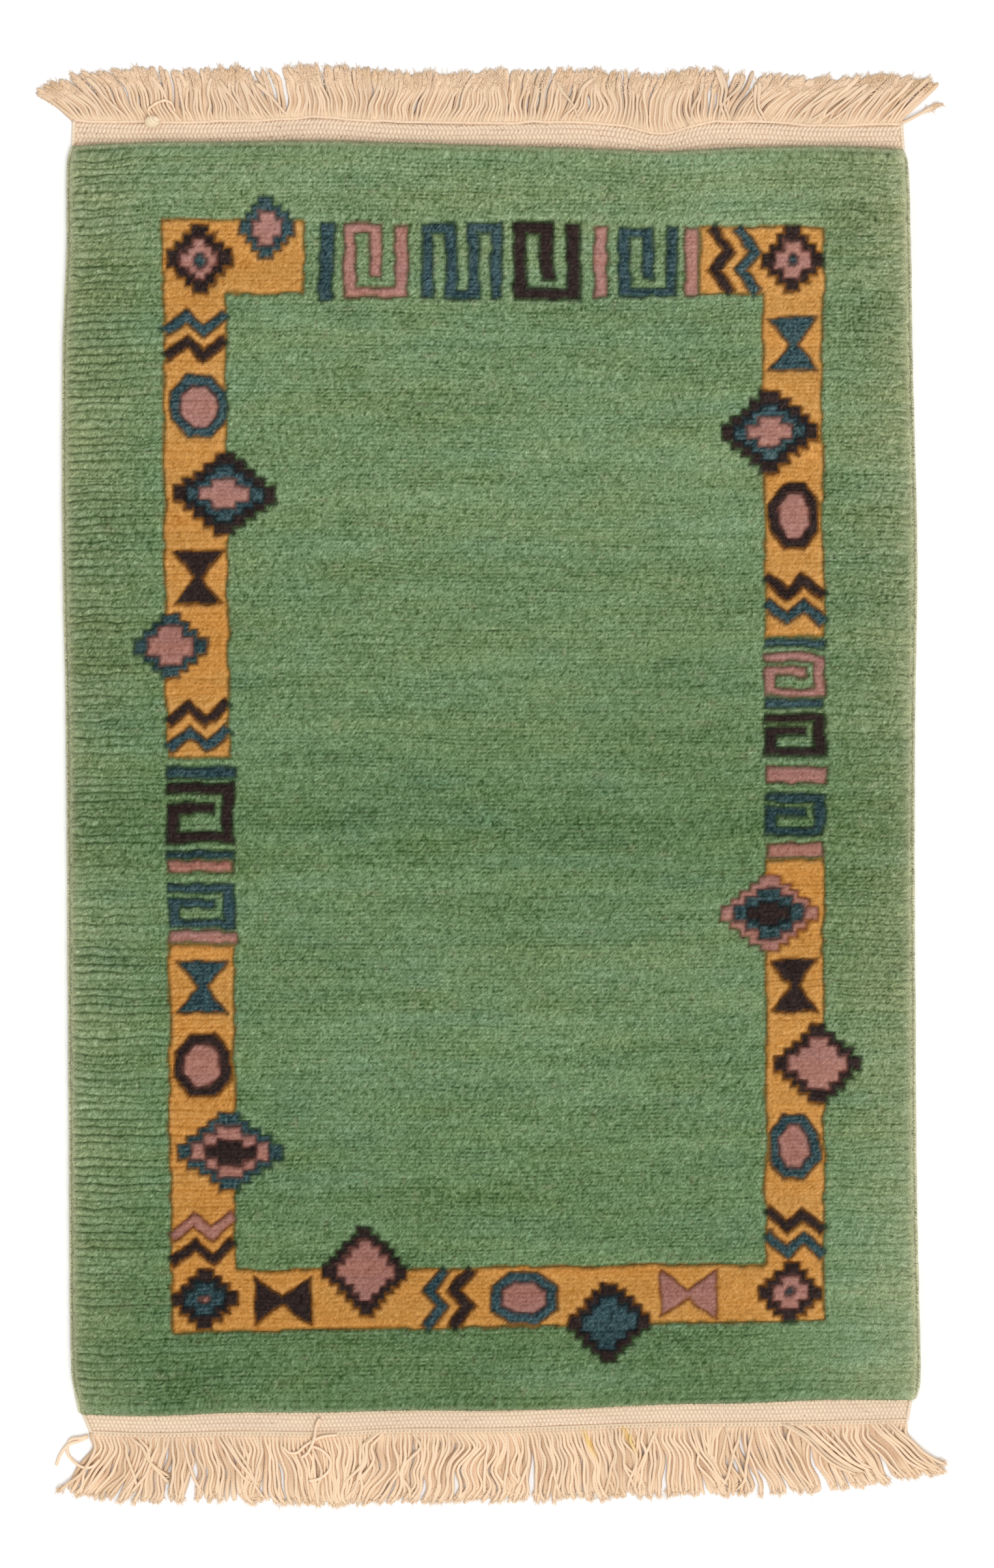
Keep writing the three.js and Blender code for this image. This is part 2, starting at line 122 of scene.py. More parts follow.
# Shares of red, green and blue in the lightness that the eye sees
EYE_WEIGHTS = np.array([0.21, 0.72, 0.07])

# Lighter and darker patches of the ground: X and Y of the middle, reach across and along, change of tone
GROUND_PATCHES = [
    (-95, -140, 80, 45, 0.07),
    (110, 260, 120, 150, 0.05),
    (200, 435, 90, 34, 0.13),
    (290, -310, 50, 90, 0.08),
    (110, -425, 110, 28, 0.07),
    (254, 400, 20, 85, -0.12),
    (-250, 232, 16, 44, -0.1),
    (-284, -60, 16, 85, 0.06),
    (-250, -340, 16, 100, -0.05),
    (272, 152, 24, 38, -0.07),
    (272, 345, 24, 34, -0.05),
    (262, -185, 24, 48, 0.09),
    (262, -395, 34, 55, 0.06),
    (-90, -410, 110, 28, -0.07),
]

# Border band: X of its side outlines along the rug, and Y of its end outlines across it
BAND_SIDES = {
    "y": [-394, 0, 394],
    "outer_left": [-224.7, -228.6, -231.6],
    "inner_left": [-179.1, -183.7, -187.9],
    "inner_right": [195.7, 194.8, 193.9],
    "outer_right": [236.2, 235.8, 235.3],
}
BAND_ENDS = {
    "x": [-230, 236],
    "outer_near": [-393.5, -384.7],
    "inner_near": [-350.2, -344.2],
    "inner_far": [341.4, 341.4],
    "outer_far": [394, 388.4],
}

# The stretches of ochre in the band end at these places: X on the far end, Y on the long sides
FAR_STRETCHES = {"left": (-131.5, 14), "right": (149, 99)}
NEAR_STRETCH = {"left": -119.5, "right": -58.5}

# The two ends of the rug. Left and right are X of the web's sides at the pile and at the strip.
# Strands drift in X by lean, bend by bow on the way and go out in Y by reach; arch makes them rise before
# they lean. A parting is a place and a push aside; a crossing strand is a place, lean, reach and lift
FAR_END = {
    "name": "far",
    "direction": 1,
    "pile": "pile_far",
    "strip": "strip_far",
    "left": (-295.2, -294.6),
    "right": (292.8, 291.6),
    "seed": 11,
    "lay": {
        "x": [
            -295, -282, -262, -238, -205, -168, -150, -143, -112, -80, -50, -10, 10, 44, 72, 96, 124, 150,
            172, 200, 260, 292,
        ],
        "lean": [-27, -27, -26, -19, -10, -13, -18, -3, -8, 4, 12, 13, 4, 13, 2, 3, 7, 4, 20, 33, 31, 27],
        "bow": [0, 0, 0, 0, -1, -2, -2, 1, -1, 1, 0, 0, 1, 0, 2, 2, -5, -4, 1, 0, 0, 0],
        "reach": [18, 26, 33, 37, 36, 36, 33, 33, 36, 35, 34, 36, 36, 36, 36, 36, 42, 37, 33, 31, 34, 28],
    },
    "arch": 0.12,
    "early": 0.85,
    "strand_radius": 1.12,
    "partings": [(-152, 4), (-113, 3), (40, 1.5)],
    "crossing": [
        (-171, -22, 26, 1.8), (-143, -24, 22, 1.6), (64, -14, 26, 1.5), (142, 9, 33, 1.6),
        (166, -8, 35, 1.9), (169, -8, 34, 2.2), (192, -7, 24, 1.9), (195, -8, 26, 2.2), (222, 39, 24, 1.7),
        (228, 40, 26, 2), (236, 38, 24, 1.8), (266, 33, 29, 1.5), (297, 31, 11, 1),
    ],
    "wander": 2.4,
    "bend": 3.6,
    "ripple": (20, 15),
    "bend_from": 0.35,
    "wiggle": 0.6,
    "gather": 0.07,
    "stray_share": 0.08,
    "opens": 0.5,
    "open_width": 1.6,
    "taper": 0.1,
    "blunt": 0.6,
    "wisps": 36,
    "wisp_from": 0.56,
    "wisp_length": (2.2, 4.6),
    "wisp_spread": 0.5,
    "wisp_radii": (0.38, 0.15),
    # Painted shade: the far fringe's cotton is toned darker than the near fringe's
    "tone": 0.91,
    "flank_shade": 0.38,
    "tan": 0.05,
    "tan_patch": 0.5,
}
NEAR_END = {
    "name": "near",
    "direction": -1,
    "pile": "pile_near",
    "strip": "strip_near",
    "left": (-287.8, -282.6),
    "right": (298, 295.6),
    "seed": 29,
    "lay": {
        "x": [
            -289, -254, -226, -208, -188, -170, -146, -116, -90, -60, -20, 10, 38, 60, 110, 150, 166, 200,
            228, 262, 295,
        ],
        "lean": [-17, -12, -8, -4, 10, 4, 11, 9, -7, -14, -7, 1, 6, 16, 4, 15, 4, 22, 16, 27, 30],
        "bow": [0, 2, -1, 3, 3, 1, 2, 3, 3, 4, 5, 8, 7, 6, 2, 3, -2, 1, 3, 3, 1],
        "reach": [41, 46, 47, 47, 47, 48, 48, 49, 49, 50, 50, 50, 50, 49, 49, 49, 49, 47, 46, 41, 36],
    },
    "arch": 0.06,
    "early": 0.24,
    "strand_radius": 1.25,
    "partings": [
        (-226, 4.5), (-212, 5), (-199, 1.2), (-160, 1.6), (-60, 2), (24, 3.5), (75, 1.6), (178, 1.6),
        (200, 1.6), (221, 5), (263, 3.5),
    ],
    "crossing": [
        (-262, 12, 34, 2.1), (-256, 27, 27, 2.6), (-250, 22, 31, 2.2), (-240, -20, 37, 1.9),
        (-232, -22, 38, 2), (-220, 14, 38, 2.3), (-193, 24, 33, 2.2), (-190, 25, 30, 2.6),
        (-187, 24, 34, 2.2),
        (-82, -23, 33, 2.1), (-79, -24, 30, 2.5), (-76, -22, 35, 2), (87, 22, 36, 1.8), (118, -19, 40, 2),
        (140, 24, 37, 2.2), (144, 22, 40, 2.5), (168, 16, 45, 2), (178, -18, 42, 2.1), (186, -14, 44, 2.3),
        (207, 50, 33, 2.3), (210, 50, 32, 2.6), (215, 46, 31, 2.3), (218, 45, 32, 2.7), (224, 41, 30, 2.3),
        (229, 38, 31, 2.8), (238, 31, 30, 2.4), (269, 37, 32, 2.2), (272, 37, 31, 2.5), (275, 38, 30, 2.2),
        (281, 38, 31, 2.4), (284, 38, 28, 2.1),
    ],
    "wander": 1.1,
    "bend": 5.5,
    "ripple": (30, 17),
    "bend_from": 0.28,
    "wiggle": 1.1,
    "gather": 0.06,
    "stray_share": 0.2,
    "opens": 0.88,
    "open_width": 1.12,
    "taper": 0.06,
    "blunt": 0.75,
    "wisps": 32,
    "wisp_from": 0.89,
    "wisp_length": (2.2, 4.4),
    "wisp_spread": 0.42,
    "wisp_radii": (0.42, 0.16),
    "tone": 0.98,
    "flank_shade": 0.38,
    "tan": 0.12,
    "tan_patch": 0.35,
}

box_low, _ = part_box("tied_knot")
KNOT_CORNER = (KNOT["x"] - KNOT["across"] / 2, KNOT["y"] - KNOT["along"] / 2)
SHIFT = np.array([box_low.x / MM - KNOT_CORNER[0], box_low.y / MM - KNOT_CORNER[1], 0])


def place(points):
    """Points of the rug's own frame, in millimetres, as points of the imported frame, in metres."""
    return (np.asarray(points, float) + SHIFT) * MM


def table_value(table, column, at):
    """Values of a table's column at places given in its first column, on a smooth curve through its rows."""
    key, value = (np.array(table[name], float) for name in (next(iter(table)), column))
    at = np.asarray(at, float)
    k = np.clip(np.searchsorted(key, at, side="right") - 1, 0, len(key) - 2)
    before = np.maximum(np.arange(len(key)) - 1, 0)
    after = np.minimum(np.arange(len(key)) + 1, len(key) - 1)
    slope = (value[after] - value[before]) / (key[after] - key[before])
    span = key[k + 1] - key[k]
    t = np.clip((at - key[k]) / span, 0, 1)
    rise = t * t * (3 - 2 * t)
    bow = span * t * (1 - t) * (slope[k] * (1 - t) - slope[k + 1] * t)
    return value[k] + (value[k + 1] - value[k]) * rise + bow


NOISE_REACH = 620


def cloth_noise(x, y, grain_across, grain_along, seed):
    """Smooth random values from -1 to 1 whose spots are about that many millimetres wide and long."""
    shape = [int(2 * NOISE_REACH / grain) + 3 for grain in (grain_along, grain_across)]
    spots = np.random.default_rng(seed).uniform(-1, 1, shape)
    u = (np.asarray(x, float) + NOISE_REACH) / grain_across
    v = (np.asarray(y, float) + NOISE_REACH) / grain_along
    i, j = np.floor(u).astype(int), np.floor(v).astype(int)
    a, b = (part * part * (3 - 2 * part) for part in (u - i, v - j))
    lower = spots[j, i] * (1 - a) + spots[j, i + 1] * a
    upper = spots[j + 1, i] * (1 - a) + spots[j + 1, i + 1] * a
    return lower * (1 - b) + upper * b


def layered_noise(x, y, *layers):
    """Sum of layers of cloth_noise, each given as its strength, grain across and along, and seed."""
    return sum(strength * cloth_noise(x, y, across, along, seed) for strength, across, along, seed in layers)


def line_noise(along, *layers):
    """Sum of layers of cloth_noise at places along a line."""
    return layered_noise(along, 0 * along, *layers)


def smooth_step(value, low, high):
    """0 below low, 1 above high and a soft rise between them."""
    t = np.clip((value - low) / (high - low), 0, 1)
    return t * t * (3 - 2 * t)


def soft_fall(value, low, high):
    """1 below low, 0 above high and a soft fall between them."""
    return 1 - smooth_step(value, low, high)


def bell(value, middle, reach):
    """1 at the middle and a soft fall to 0 on both sides of it."""
    return np.exp(-(((value - middle) / reach) ** 2))


def mixed(first, second, share):
    """The first colour or value with that share of the second in it."""
    return first * (1 - share) + second * share


def linear(hex_colour):
    """An sRGB hex colour as linear red, green and blue."""
    parts = np.array([int(hex_colour[k:k + 2], 16) for k in (1, 3, 5)]) / 255
    return np.where(parts <= 0.04045, parts / 12.92, ((parts + 0.055) / 1.055) ** 2.4)


# Dyes and undyed yarns
DYES = {
    "green": linear("#6e865f"),
    "ochre": linear("#c48d4a"),
    "rose": linear("#a17368"),
    "slate": linear("#374f53"),
    "aubergine": linear("#2d201d"),
}
PILE_SIDE = linear("#a2a380")
FADED_KNOT = linear("#a3957a")
SELVEDGE_WOOL = linear("#cbc9a6")
COTTON = linear("#f6dabb")
COTTON_SHADE = linear("#ba8f69")
WEB_COTTON = linear("#f4dfc5")
WEB_SHADE = linear("#c9a588")
COTTON_TAN = linear("#e3c096")
WEB_DOT = linear("#6a4d38")
KNOT_COTTON = linear("#f3dcba")
STAIN = linear("#ecc569")


# Shapes of the border's ornaments, each as a closed outline
def carved_line(path, half_across, half_along):
    """A line of pile along a path, with square corners and ends."""
    reach = np.array([half_across, half_along], float)
    points = np.array(path, float) / reach
    ahead = np.diff(points, axis=0)
    ahead /= np.linalg.norm(ahead, axis=1)[:, None]
    aside = np.stack([-ahead[:, 1], ahead[:, 0]], 1)
    turn = (aside[:-1] + aside[1:]) / (1 + (aside[:-1] * aside[1:]).sum(1))[:, None]
    offset = np.concatenate([aside[:1], turn, aside[-1:]])
    points[0] -= ahead[0]
    points[-1] += ahead[-1]
    return np.concatenate([points + offset, (points - offset)[::-1]]) * reach


# A lozenge's steps in height, an octagon's cut corners and an hourglass's waist as shares of their size
STEP_HEIGHT = 11
CORNER_CUT = 0.42
WAIST = 0.09


def stepped_lozenge(x, y, width, height):
    """A lozenge whose sides climb in steps, as knotted ones do."""
    steps = max(2, round(height / STEP_HEIGHT))
    level = np.repeat(np.arange(steps), 2)
    climbed = level.copy()
    climbed[1::2] += 1
    quarter = np.stack([(1 - level / steps) * width / 2, climbed / steps * height / 2], 1)[1:]
    half = np.concatenate([quarter, quarter[::-1] * (-1, 1)])
    return np.concatenate([half, half[::-1] * (1, -1)]) + (x, y)


def octagon(x, y, width, height):
    """A medallion with cut corners."""
    a, b = width / 2, height / 2
    half = [(a, b * CORNER_CUT), (a * CORNER_CUT, b), (-a * CORNER_CUT, b), (-a, b * CORNER_CUT)]
    return np.array(half + [(p, -q) for p, q in reversed(half)]) + (x, y)


def hourglass(x, y, width, height):
    """Two triangles that meet at their tips."""
    a, b, waist = width / 2, height / 2, width * WAIST
    half = [(a, b), (-a, b), (-waist, 0)]
    return np.array(half + [(-a, -b), (a, -b), (waist, 0)]) + (x, y)


def fallen_hourglass(x, y, width, height):
    """The same figure on its side."""
    return (hourglass(0, 0, height, width)[:, ::-1])[::-1] + (x, y)


def bar(x0, y0, x1, y1):
    """A plain rectangle."""
    return np.array([(x0, y0), (x1, y0), (x1, y1), (x0, y1)], float)


SHAPES = {
    "lozenge": stepped_lozenge,
    "octagon": octagon,
    "hourglass": hourglass,
    "fallen": fallen_hourglass,
}

# Ornaments of the ochre band: shape, middle, size and dyes from the outline inwards. The rings of a
# lozenge are set further in, so that they look as wide across its slanting sides
RING_WIDTH = 7.2
LOZENGE_RING = 1.3
ORNAMENTS = [
    ("lozenge", -205, 366, 46, 48, ("aubergine", "rose", "slate")),
    ("octagon", -206, 262, 40, 44, ("slate", "rose")),
    ("lozenge", -188, 200, 72, 58, ("aubergine", "slate", "rose")),
    ("hourglass", -206, 141, 36, 38, ("aubergine",)),
    ("lozenge", -226, 92, 52, 46, ("slate", "rose")),
    ("hourglass", -204, -149, 36, 36, ("slate",)),
    ("octagon", -203, -204, 40, 46, ("aubergine", "rose")),
    ("lozenge", -184, -266, 74, 56, ("slate", "rose", "aubergine")),
    ("lozenge", -202, -370, 46, 42, ("aubergine", "slate", "rose")),
    ("fallen", -146, -371, 40, 34, ("aubergine",)),
    ("lozenge", -88, -350, 58, 62, ("aubergine", "rose")),
    ("octagon", 24, -369, 46, 36, ("slate", "rose")),
    ("lozenge", 84, -386, 58, 56, ("aubergine", "slate")),
    ("fallen", 141, -366, 40, 34, ("rose",)),
    ("lozenge", 213, -365, 44, 42, ("aubergine", "rose", "slate")),
    ("octagon", 215, -262, 36, 44, ("slate", "rose")),
    ("lozenge", 232, -203, 62, 56, ("aubergine", "rose")),
    ("hourglass", 215, -148, 34, 36, ("aubergine",)),
    ("lozenge", 198, -97, 68, 54, ("rose", "slate", "aubergine")),
    ("octagon", 215, 184, 36, 46, ("aubergine", "rose")),
    ("lozenge", 198, 244, 70, 58, ("aubergine", "slate", "rose")),
    ("hourglass", 215, 306, 34, 38, ("slate",)),
    ("lozenge", 214, 366, 44, 46, ("aubergine", "rose", "slate")),
    ("lozenge", -158, 388, 40, 44, ("slate", "rose")),
]

# Water lines, in pairs: a zigzag across the band, as shares of the way over it and rises beside it
ZIGZAG = [(0.07, -5), (0.36, 5), (0.64, -5), (0.93, 5)]
ZIGZAG_HALF = 3.7
WATER_LINES = [
    ("across", -206, 321, "slate"), ("across", -206, 303, "aubergine"),
    ("across", -206, 45, "aubergine"), ("across", -206, 27, "slate"),
    ("across", -203, -318, "rose"), ("across", -203, -336, "aubergine"),
    ("along", -38, -370, "slate"), ("along", -20, -370, "aubergine"),
    ("across", 215, -314, "aubergine"), ("across", 215, -332, "slate"),
    ("across", 215, 134, "aubergine"), ("across", 215, 116, "slate"),
    ("along", 164, 366, "aubergine"), ("along", 182, 366, "slate"),
]

# Key frets and plain bars on the green ground between the stretches of ochre band. A fret is a path in
# its own square, the rectangle that it fills, half the width of its lines across and along, and a dye
HOOK_FRET = [(0.5, 0.3), (0.5, 1), (0, 1), (0, 0), (1, 0), (1, 1)]
MEANDER = [(0, 0), (0, 1), (1 / 3, 1), (1 / 3, 0), (2 / 3, 0), (2 / 3, 1), (1, 1), (1, 0)]
SIDE_FRET = [(0.62, 0.6), (0, 0.6), (0, 0), (1, 0), (1, 1), (0, 1)]
FRETS = [
    (HOOK_FRET, -103.2, 339.5, -58, 391, 4.3, 3.3, "rose"),
    (MEANDER, -48.4, 338.5, 8.7, 391.5, 4, 3.4, "slate"),
    (HOOK_FRET, 17, 338, 64, 391.5, 4.8, 4, "aubergine"),
    (HOOK_FRET, 90.7, 341, 131.7, 388.5, 3.9, 3.2, "slate"),
    (SIDE_FRET, 194.5, 57, 237.5, 86.5, 4.1, 3, "rose"),
    (SIDE_FRET, 194, 14, 238, 44.4, 4.4, 3.3, "aubergine"),
    (SIDE_FRET, 195, -41.7, 236, -12.2, 3.8, 3, "slate"),
    (SIDE_FRET, -228.5, -47.2, -180.5, -4.4, 4.6, 4.1, "aubergine"),
    (SIDE_FRET, -228, -107, -181, -75.8, 4, 3.1, "slate"),
]
BARS = [
    (-120.2, 336.5, -110.5, 392, "slate"), (73.7, 340, 82.4, 389.5, "rose"),
    (137.7, 341, 147.8, 388.5, "rose"), (194.5, 91.2, 237, 96.8, "slate"), (194, 48.4, 236.5, 54.9, "slate"),
    (194.5, -4.6, 237, 7, "rose"), (195, -56.6, 236.5, -47, "rose"), (-228.5, -1.4, -179.5, 6.9, "slate"),
    (-228.5, -58, -181, -52.4, "slate"), (-227.5, -66.8, -182, -59.8, "rose"),
    (-227.5, -117.8, -180, -109.6, "rose"),
]


def band_x(column, y):
    """X of one side outline of the band at y."""
    return float(table_value(BAND_SIDES, column, y))


def band_y(column, x):
    """Y of one end outline of the band at x."""
    return float(table_value(BAND_ENDS, column, x))


SETTLING_ROUNDS = 4


def band_corner(side, end):
    """Corner where a side outline and an end outline of the band meet."""
    x, y = 0, 0
    for _ in range(SETTLING_ROUNDS):
        y = band_y(end, x)
        x = band_x(side, y)
    return x, y


def ochre_stretches():
    """Outlines of the three ochre stretches of the band."""
    stretches = [
        [
            band_corner(f"outer_{side}", "outer_far"), (end_x, band_y("outer_far", end_x)),
            (end_x, band_y("inner_far", end_x)), band_corner(f"inner_{side}", "inner_far"),
            (band_x(f"inner_{side}", end_y), end_y), (band_x(f"outer_{side}", end_y), end_y),
        ]
        for side, (end_x, end_y) in FAR_STRETCHES.items()
    ]
    left, right = NEAR_STRETCH["left"], NEAR_STRETCH["right"]
    stretches.append([
        (band_x("outer_left", left), left), band_corner("outer_left", "outer_near"),
        band_corner("outer_right", "outer_near"), (band_x("outer_right", right), right),
        (band_x("inner_right", right), right), band_corner("inner_right", "inner_near"),
        band_corner("inner_left", "inner_near"), (band_x("inner_left", left), left),
    ])
    return [np.array(outline) for outline in stretches]


def water_line(way, x, y):
    """A zigzag from one edge of the band to the other."""
    if way == "across":
        low, high = (band_x(f"{edge}_{'left' if x < 0 else 'right'}", y) for edge in ("outer", "inner"))
        path = [(low + (high - low) * t, y + rise) for t, rise in ZIGZAG]
    else:
        low, high = (band_y(f"{edge}_{'near' if y < 0 else 'far'}", x) for edge in ("outer", "inner"))
        path = [(x + rise, low + (high - low) * t) for t, rise in ZIGZAG]
    return carved_line(path, ZIGZAG_HALF, ZIGZAG_HALF)


def chart():
    """All dyed areas of the border in the order in which they are laid, as outlines with their dyes."""
    areas = [(outline, "ochre") for outline in ochre_stretches()]
    for shape, x, y, width, height, dyes in ORNAMENTS:
        for ring, dye in enumerate(dyes):
            inset = 2 * RING_WIDTH * ring * (LOZENGE_RING if shape == "lozenge" else 1)
            areas.append((SHAPES[shape](x, y, width - inset, height - inset), dye))
    areas += [(water_line(way, x, y), dye) for way, x, y, dye in WATER_LINES]
    for path, x0, y0, x1, y1, half_across, half_along, dye in FRETS:
        reach = (x1 - x0 - 2 * half_across, y1 - y0 - 2 * half_along)
        corners = np.array(path) * reach + (x0 + half_across, y0 + half_along)
        areas.append((carved_line(corners, half_across, half_along), dye))
    areas += [(bar(x0, y0, x1, y1), dye) for x0, y0, x1, y1, dye in BARS]
    return areas


# Points further than the margin from an area are left out of its reckoning and count as far off
CHART = chart()
CHART_MARGIN = 12
FAR_OFF = 50.0
SOFT_EDGE = 1.4


def outline_distance(points, outline):
    """Distance of points to a closed outline, negative inside, and their way to its nearest point."""
    nearest = np.full(len(points), np.inf)
    way = np.zeros_like(points)
    inside = np.zeros(len(points), bool)
    for start, end in zip(outline, np.roll(outline, -1, axis=0)):
        edge = end - start
        t = np.clip((points - start) @ edge / (edge @ edge), 0, 1)
        to_edge = start + t[:, None] * edge - points
        distance = np.hypot(*to_edge.T)
        closer = distance < nearest
        nearest[closer] = distance[closer]
        way[closer] = to_edge[closer]
        if start[1] != end[1]:
            beside = (start[1] > points[:, 1]) != (end[1] > points[:, 1])
            crossing = start[0] + (points[:, 1] - start[1]) / edge[1] * edge[0]
            inside ^= beside & (points[:, 0] < crossing)
    return np.where(inside, -nearest, nearest), way


def dyed(points):
    """Dye at points, their distance to the nearest outline between two dyes and their way to it."""
    dye = np.tile(DYES["green"], (len(points), 1))
    edge = np.full(len(points), FAR_OFF)
    way = np.zeros((len(points), 2))
    for outline, name in CHART:
        low, high = outline.min(0) - CHART_MARGIN, outline.max(0) + CHART_MARGIN
        near = np.nonzero(((points > low) & (points < high)).all(1))[0]
        distance, to_edge = outline_distance(points[near], outline)
        share = smooth_step(-distance, -SOFT_EDGE / 2, SOFT_EDGE / 2)[:, None]
        dye[near] = dye[near] * (1 - share) + DYES[name] * share
        closer = (distance < 0) | (distance < edge[near])
        edge[near[closer]] = np.abs(distance[closer])
        way[near[closer]] = to_edge[closer]
    return dye, edge, way


# Meshes from Blender's operators, with their points moved afterwards
def finished_mesh(bm, name):
    """Turns a bmesh into a mesh of that name."""
    mesh = bpy.data.meshes.new(name)
    bm.to_mesh(mesh)
    bm.free()
    return mesh


def shown_object(name, data):
    """A new object of the scene that shows a mesh, a light or a camera."""
    made = bpy.data.objects.new(name, data)
    bpy.context.scene.collection.objects.link(made)
    return made


def grid_mesh(name, cells_across, cells_along, hole=None):
    """A flat grid, without the cells of a hole given as first and last cell across and along."""
    bm = bmesh.new()
    bmesh.ops.create_grid(bm, x_segments=cells_across, y_segments=cells_along, size=0.5)
    if hole:
        first_across, last_across, first_along, last_along = hole
        bm.faces.ensure_lookup_table()
        inner = [
            bm.faces[j * cells_across + i]
            for j in range(first_along, last_along)
            for i in range(first_across, last_across)
        ]
        bmesh.ops.delete(bm, geom=inner, context="FACES")
    return finished_mesh(bm, name)


SAME_PLACE = 1e-4


def tube_mesh(name, sides, steps, count=1):
    """Copies of a closed tube of unit radius and length, whose UV map runs round and along it."""
    bm = bmesh.new()
    bm.loops.layers.uv.new("UVMap")
    bmesh.ops.create_grid(bm, x_segments=sides, y_segments=steps, size=0.5, calc_uvs=True)
    for vert in bm.verts:
        angle = (vert.co.x + 0.5) * 2 * math.pi
        vert.co = (math.cos(angle), math.sin(angle), vert.co.y + 0.5)
    bmesh.ops.remove_doubles(bm, verts=bm.verts, dist=SAME_PLACE)
    bmesh.ops.edgeloop_fill(bm, edges=[edge for edge in bm.edges if edge.is_boundary])
    bmesh.ops.recalc_face_normals(bm, faces=bm.faces)
    mesh = finished_mesh(bm, name)
    if count == 1:
        return mesh
    single = shown_object(name, mesh)
    copies = single.modifiers.new("copies", "ARRAY")
    copies.count = count
    copies.use_relative_offset = False
    shown = single.evaluated_get(bpy.context.evaluated_depsgraph_get())
    joined = bpy.data.meshes.new_from_object(shown)
    bpy.data.objects.remove(single)
    bpy.data.meshes.remove(mesh)
    joined.name = name
    return joined


def mesh_points(mesh):
    """Points of a mesh as an array."""
    points = np.empty(len(mesh.vertices) * 3, np.float32)
    mesh.vertices.foreach_get("co", points)
    return points.reshape(-1, 3).astype(float)


def move_points(mesh, points):
    """Gives a mesh its points, from the rug's own frame."""
    mesh.vertices.foreach_set("co", place(points.reshape(-1, 3)).astype(np.float32).ravel())
    mesh.update()


def set_dye(mesh, dye, liveliness=1):
    """Stores the colour of each point, and as its alpha how strongly its fibres differ in tone."""
    values = np.ones((len(mesh.vertices), 4), np.float32)
    values[:, :3] = np.clip(dye.reshape(-1, 3), 0, 1)
    values[:, 3] = liveliness
    attribute = mesh.attributes.new("dye", "FLOAT_COLOR", "POINT")
    attribute.data.foreach_set("color", values.ravel())


def finish_piece(mesh, material, slot, *nodes):
    """Makes a finished mesh a piece of the rug that stands for its solids."""
    piece = shown_object(mesh.name, mesh)
    mesh.materials.clear()
    mesh.materials.append(material)
    mesh.polygons.foreach_set("use_smooth", np.ones(len(mesh.polygons), bool))
    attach(piece, BODY)
    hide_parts(*nodes)
    return piece


def bend_tubes(mesh, centres, radii, squash=1):
    """Lays the tubes of a mesh along centre lines given as tubes x rings x 3.

    Radii and squash, which flattens a tube, are given as tubes x rings.
    Returns the ring that each point of one tube belongs to, and how high it stands there from -1 to 1.
    """
    count, rings, _ = centres.shape
    points = mesh_points(mesh).reshape(count, -1, 3)
    ring = np.rint(points[0, :, 2] * (rings - 1)).astype(int)
    ahead = np.gradient(centres, axis=1)
    ahead /= np.linalg.norm(ahead, axis=2, keepdims=True)
    side = np.cross((0, 0, 1), ahead)
    side /= np.linalg.norm(side, axis=2, keepdims=True)
    up = np.cross(ahead, side)
    flatness = np.broadcast_to(squash, centres.shape[:2])[:, ring, None]
    across = points[..., 0:1] * side[:, ring] + points[..., 1:2] * up[:, ring] * flatness
    move_points(mesh, centres[:, ring] + across * radii[:, ring, None])
    return ring, points[0, :, 1]


def every_other(steps, even, odd):
    """Two values by turns, one for each ring of a tube with that many steps."""
    return np.where(np.arange(steps + 1) % 2 == 0, even, odd)


def make_yarns(name, sides, centres, radii, dye, finish, squash=1):
    """Tubes along centre lines as one piece, from the dye of their rings and a finish of material, slot and
    node; the slot is not used.
    """
    count, rings, _ = centres.shape
    mesh = tube_mesh(name, sides, rings - 1, count)
    ring, _ = bend_tubes(mesh, centres, np.broadcast_to(radii, (count, rings)), squash)
    set_dye(mesh, np.broadcast_to(dye, centres.shape)[:, ring])
    return finish_piece(mesh, *finish)


# Finishes
def add_node(tree, kind, inputs=None, **settings):
    """A node with its settings, and its inputs as values or as links from other nodes' outputs."""
    node = tree.nodes.new(kind)
    for name, value in settings.items():
        setattr(node, name, value)
    for socket, value in (inputs or {}).items():
        if isinstance(value, bpy.types.NodeSocket):
            tree.links.new(value, node.inputs[socket])
        else:
            node.inputs[socket].default_value = value
    return node


def per_metre(size_mm):
    """Scale of a pattern on Object coordinates whose features have that size in millimetres."""
    return 1 / (size_mm * MM)


# Wool and cotton fibres have little gloss, and their sheen is wide and soft
FIBRE_GLOSS = 0.2
SHEEN_ROUGHNESS = 0.6


